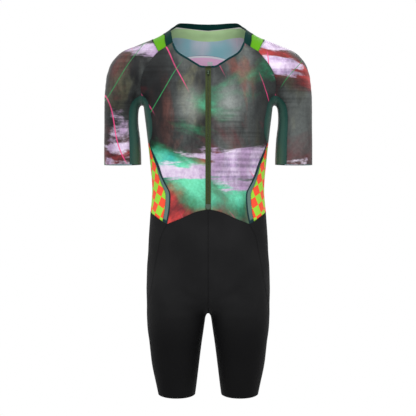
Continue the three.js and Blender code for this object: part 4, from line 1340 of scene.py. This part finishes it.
# Stitching along the seams.
upper_seams = [
    raglan_front, raglan_back, gusset_sleeve_front, gusset_sleeve_back, gusset_chest_front,
    gusset_chest_back, side_band_front, side_band_inner, side_panel_back, yoke_end, neck_band_end,
]
whole_seams = [across(joined(yoke_over_shoulder, yoke_back)), across(neck_band_seam), across(back_foot)]
shorts_seams = [*both([front_foot, side_foot, outer_seam, inseam]), middle_front, middle_back]
zip_rows = both([settle(centre_front + (0.9, 0, 0))])
zip_teeth = sewn("zip_teeth", teeth(), teeth_nylon, "zip_tape")
stitching = sewn("stitching_upper", map(zigzag, both(upper_seams) + whole_seams), dark_thread, "binding")
shorts_stitching = sewn("stitching_shorts", map(zigzag, shorts_seams), black_thread, "shorts_cloth")
zip_stitching = sewn("stitching_zip", map(dashes, zip_rows), dark_thread, "zip_tape")

# The hard pieces keep their solids.
for node, material in (
    ("zip_slider", slider_metal),
    ("zip_pull", pull_metal),
    ("zip_bottom_stop", stop_plastic),
):
    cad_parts[node].data.materials.clear()
    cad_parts[node].data.materials.append(material)

on_pieces = {
    "front_left_cloth": [tapes[0], bindings[0], garage, zip_teeth, zip_stitching],
    "front_right_cloth": [tapes[1], bindings[1]],
    "back_cloth": [stitching],
    "shorts_back_left_cloth": [shorts_stitching],
    "inner_patch_cloth": [label],
}
for piece, flat, area in sheets:
    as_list(on_pieces.get(piece.name, []))

# The floor, the light and the camera, in metres.
FLOOR_Z = -1.42
FLOOR_SIDE = 5
bpy.ops.mesh.primitive_plane_add(size=FLOOR_SIDE, location=(0, 0, FLOOR_Z))
floor = bpy.context.object
floor.name = "floor"
floor_paint = Finish("floor_paint", roughness=0.9, specular=0.1, sheen=0.0)
floor_paint.colour(floor_paint.mix(floor_paint.noise(floor_paint.place(), 3.0), *FLOOR))
floor.data.materials.append(floor_paint.material)

world = bpy.data.worlds.new("studio")
bpy.context.scene.world = world
world.use_nodes = True
world.node_tree.nodes["Background"].inputs["Color"].default_value = (1, 1, 1, 1)
world.node_tree.nodes["Background"].inputs["Strength"].default_value = 1.0

SOFT_BOXES = [
    # place, aim, side in metres, power in watts
    ((-1.5, -2.4, 0.9), (0, 0, -0.35), 1.4, 18),
    ((1.6, -2.2, 0.5), (0, 0, -0.4), 1.4, 10),
    ((0.3, 1.8, 1.2), (0, 0, -0.3), 1.2, 12),
    ((0.0, -1.2, 1.3), (0, 0.08, -0.06), 0.8, 16),
]
for spot, aim, side, power in SOFT_BOXES:
    light = bpy.data.lights.new("soft_box", "AREA")
    light.size = side
    light.energy = power
    box = bpy.data.objects.new("soft_box", light)
    box.location = spot
    box.rotation_mode = "QUATERNION"
    box.rotation_quaternion = (Vector(aim) - Vector(spot)).to_track_quat("-Z", "Y")
    bpy.context.scene.collection.objects.link(box)

bpy.context.scene.view_settings.view_transform = "Standard"

SENSOR_WIDTH = 36
CAMERA_X = -0.0005
camera = bpy.data.cameras.new("camera")
camera.sensor_width = SENSOR_WIDTH
camera.lens = SENSOR_WIDTH * HEAD_ON_DISTANCE / (PHOTO_SIDE * MM_PER_PIXEL)
camera.clip_end = 100
stand = bpy.data.objects.new("camera", camera)
stand.location = (CAMERA_X, -HEAD_ON_DISTANCE * MM, PHOTO_CENTRE_Z * MM)
stand.rotation_euler = (math.pi / 2, 0, 0)
bpy.context.scene.collection.objects.link(stand)
bpy.context.scene.camera = stand
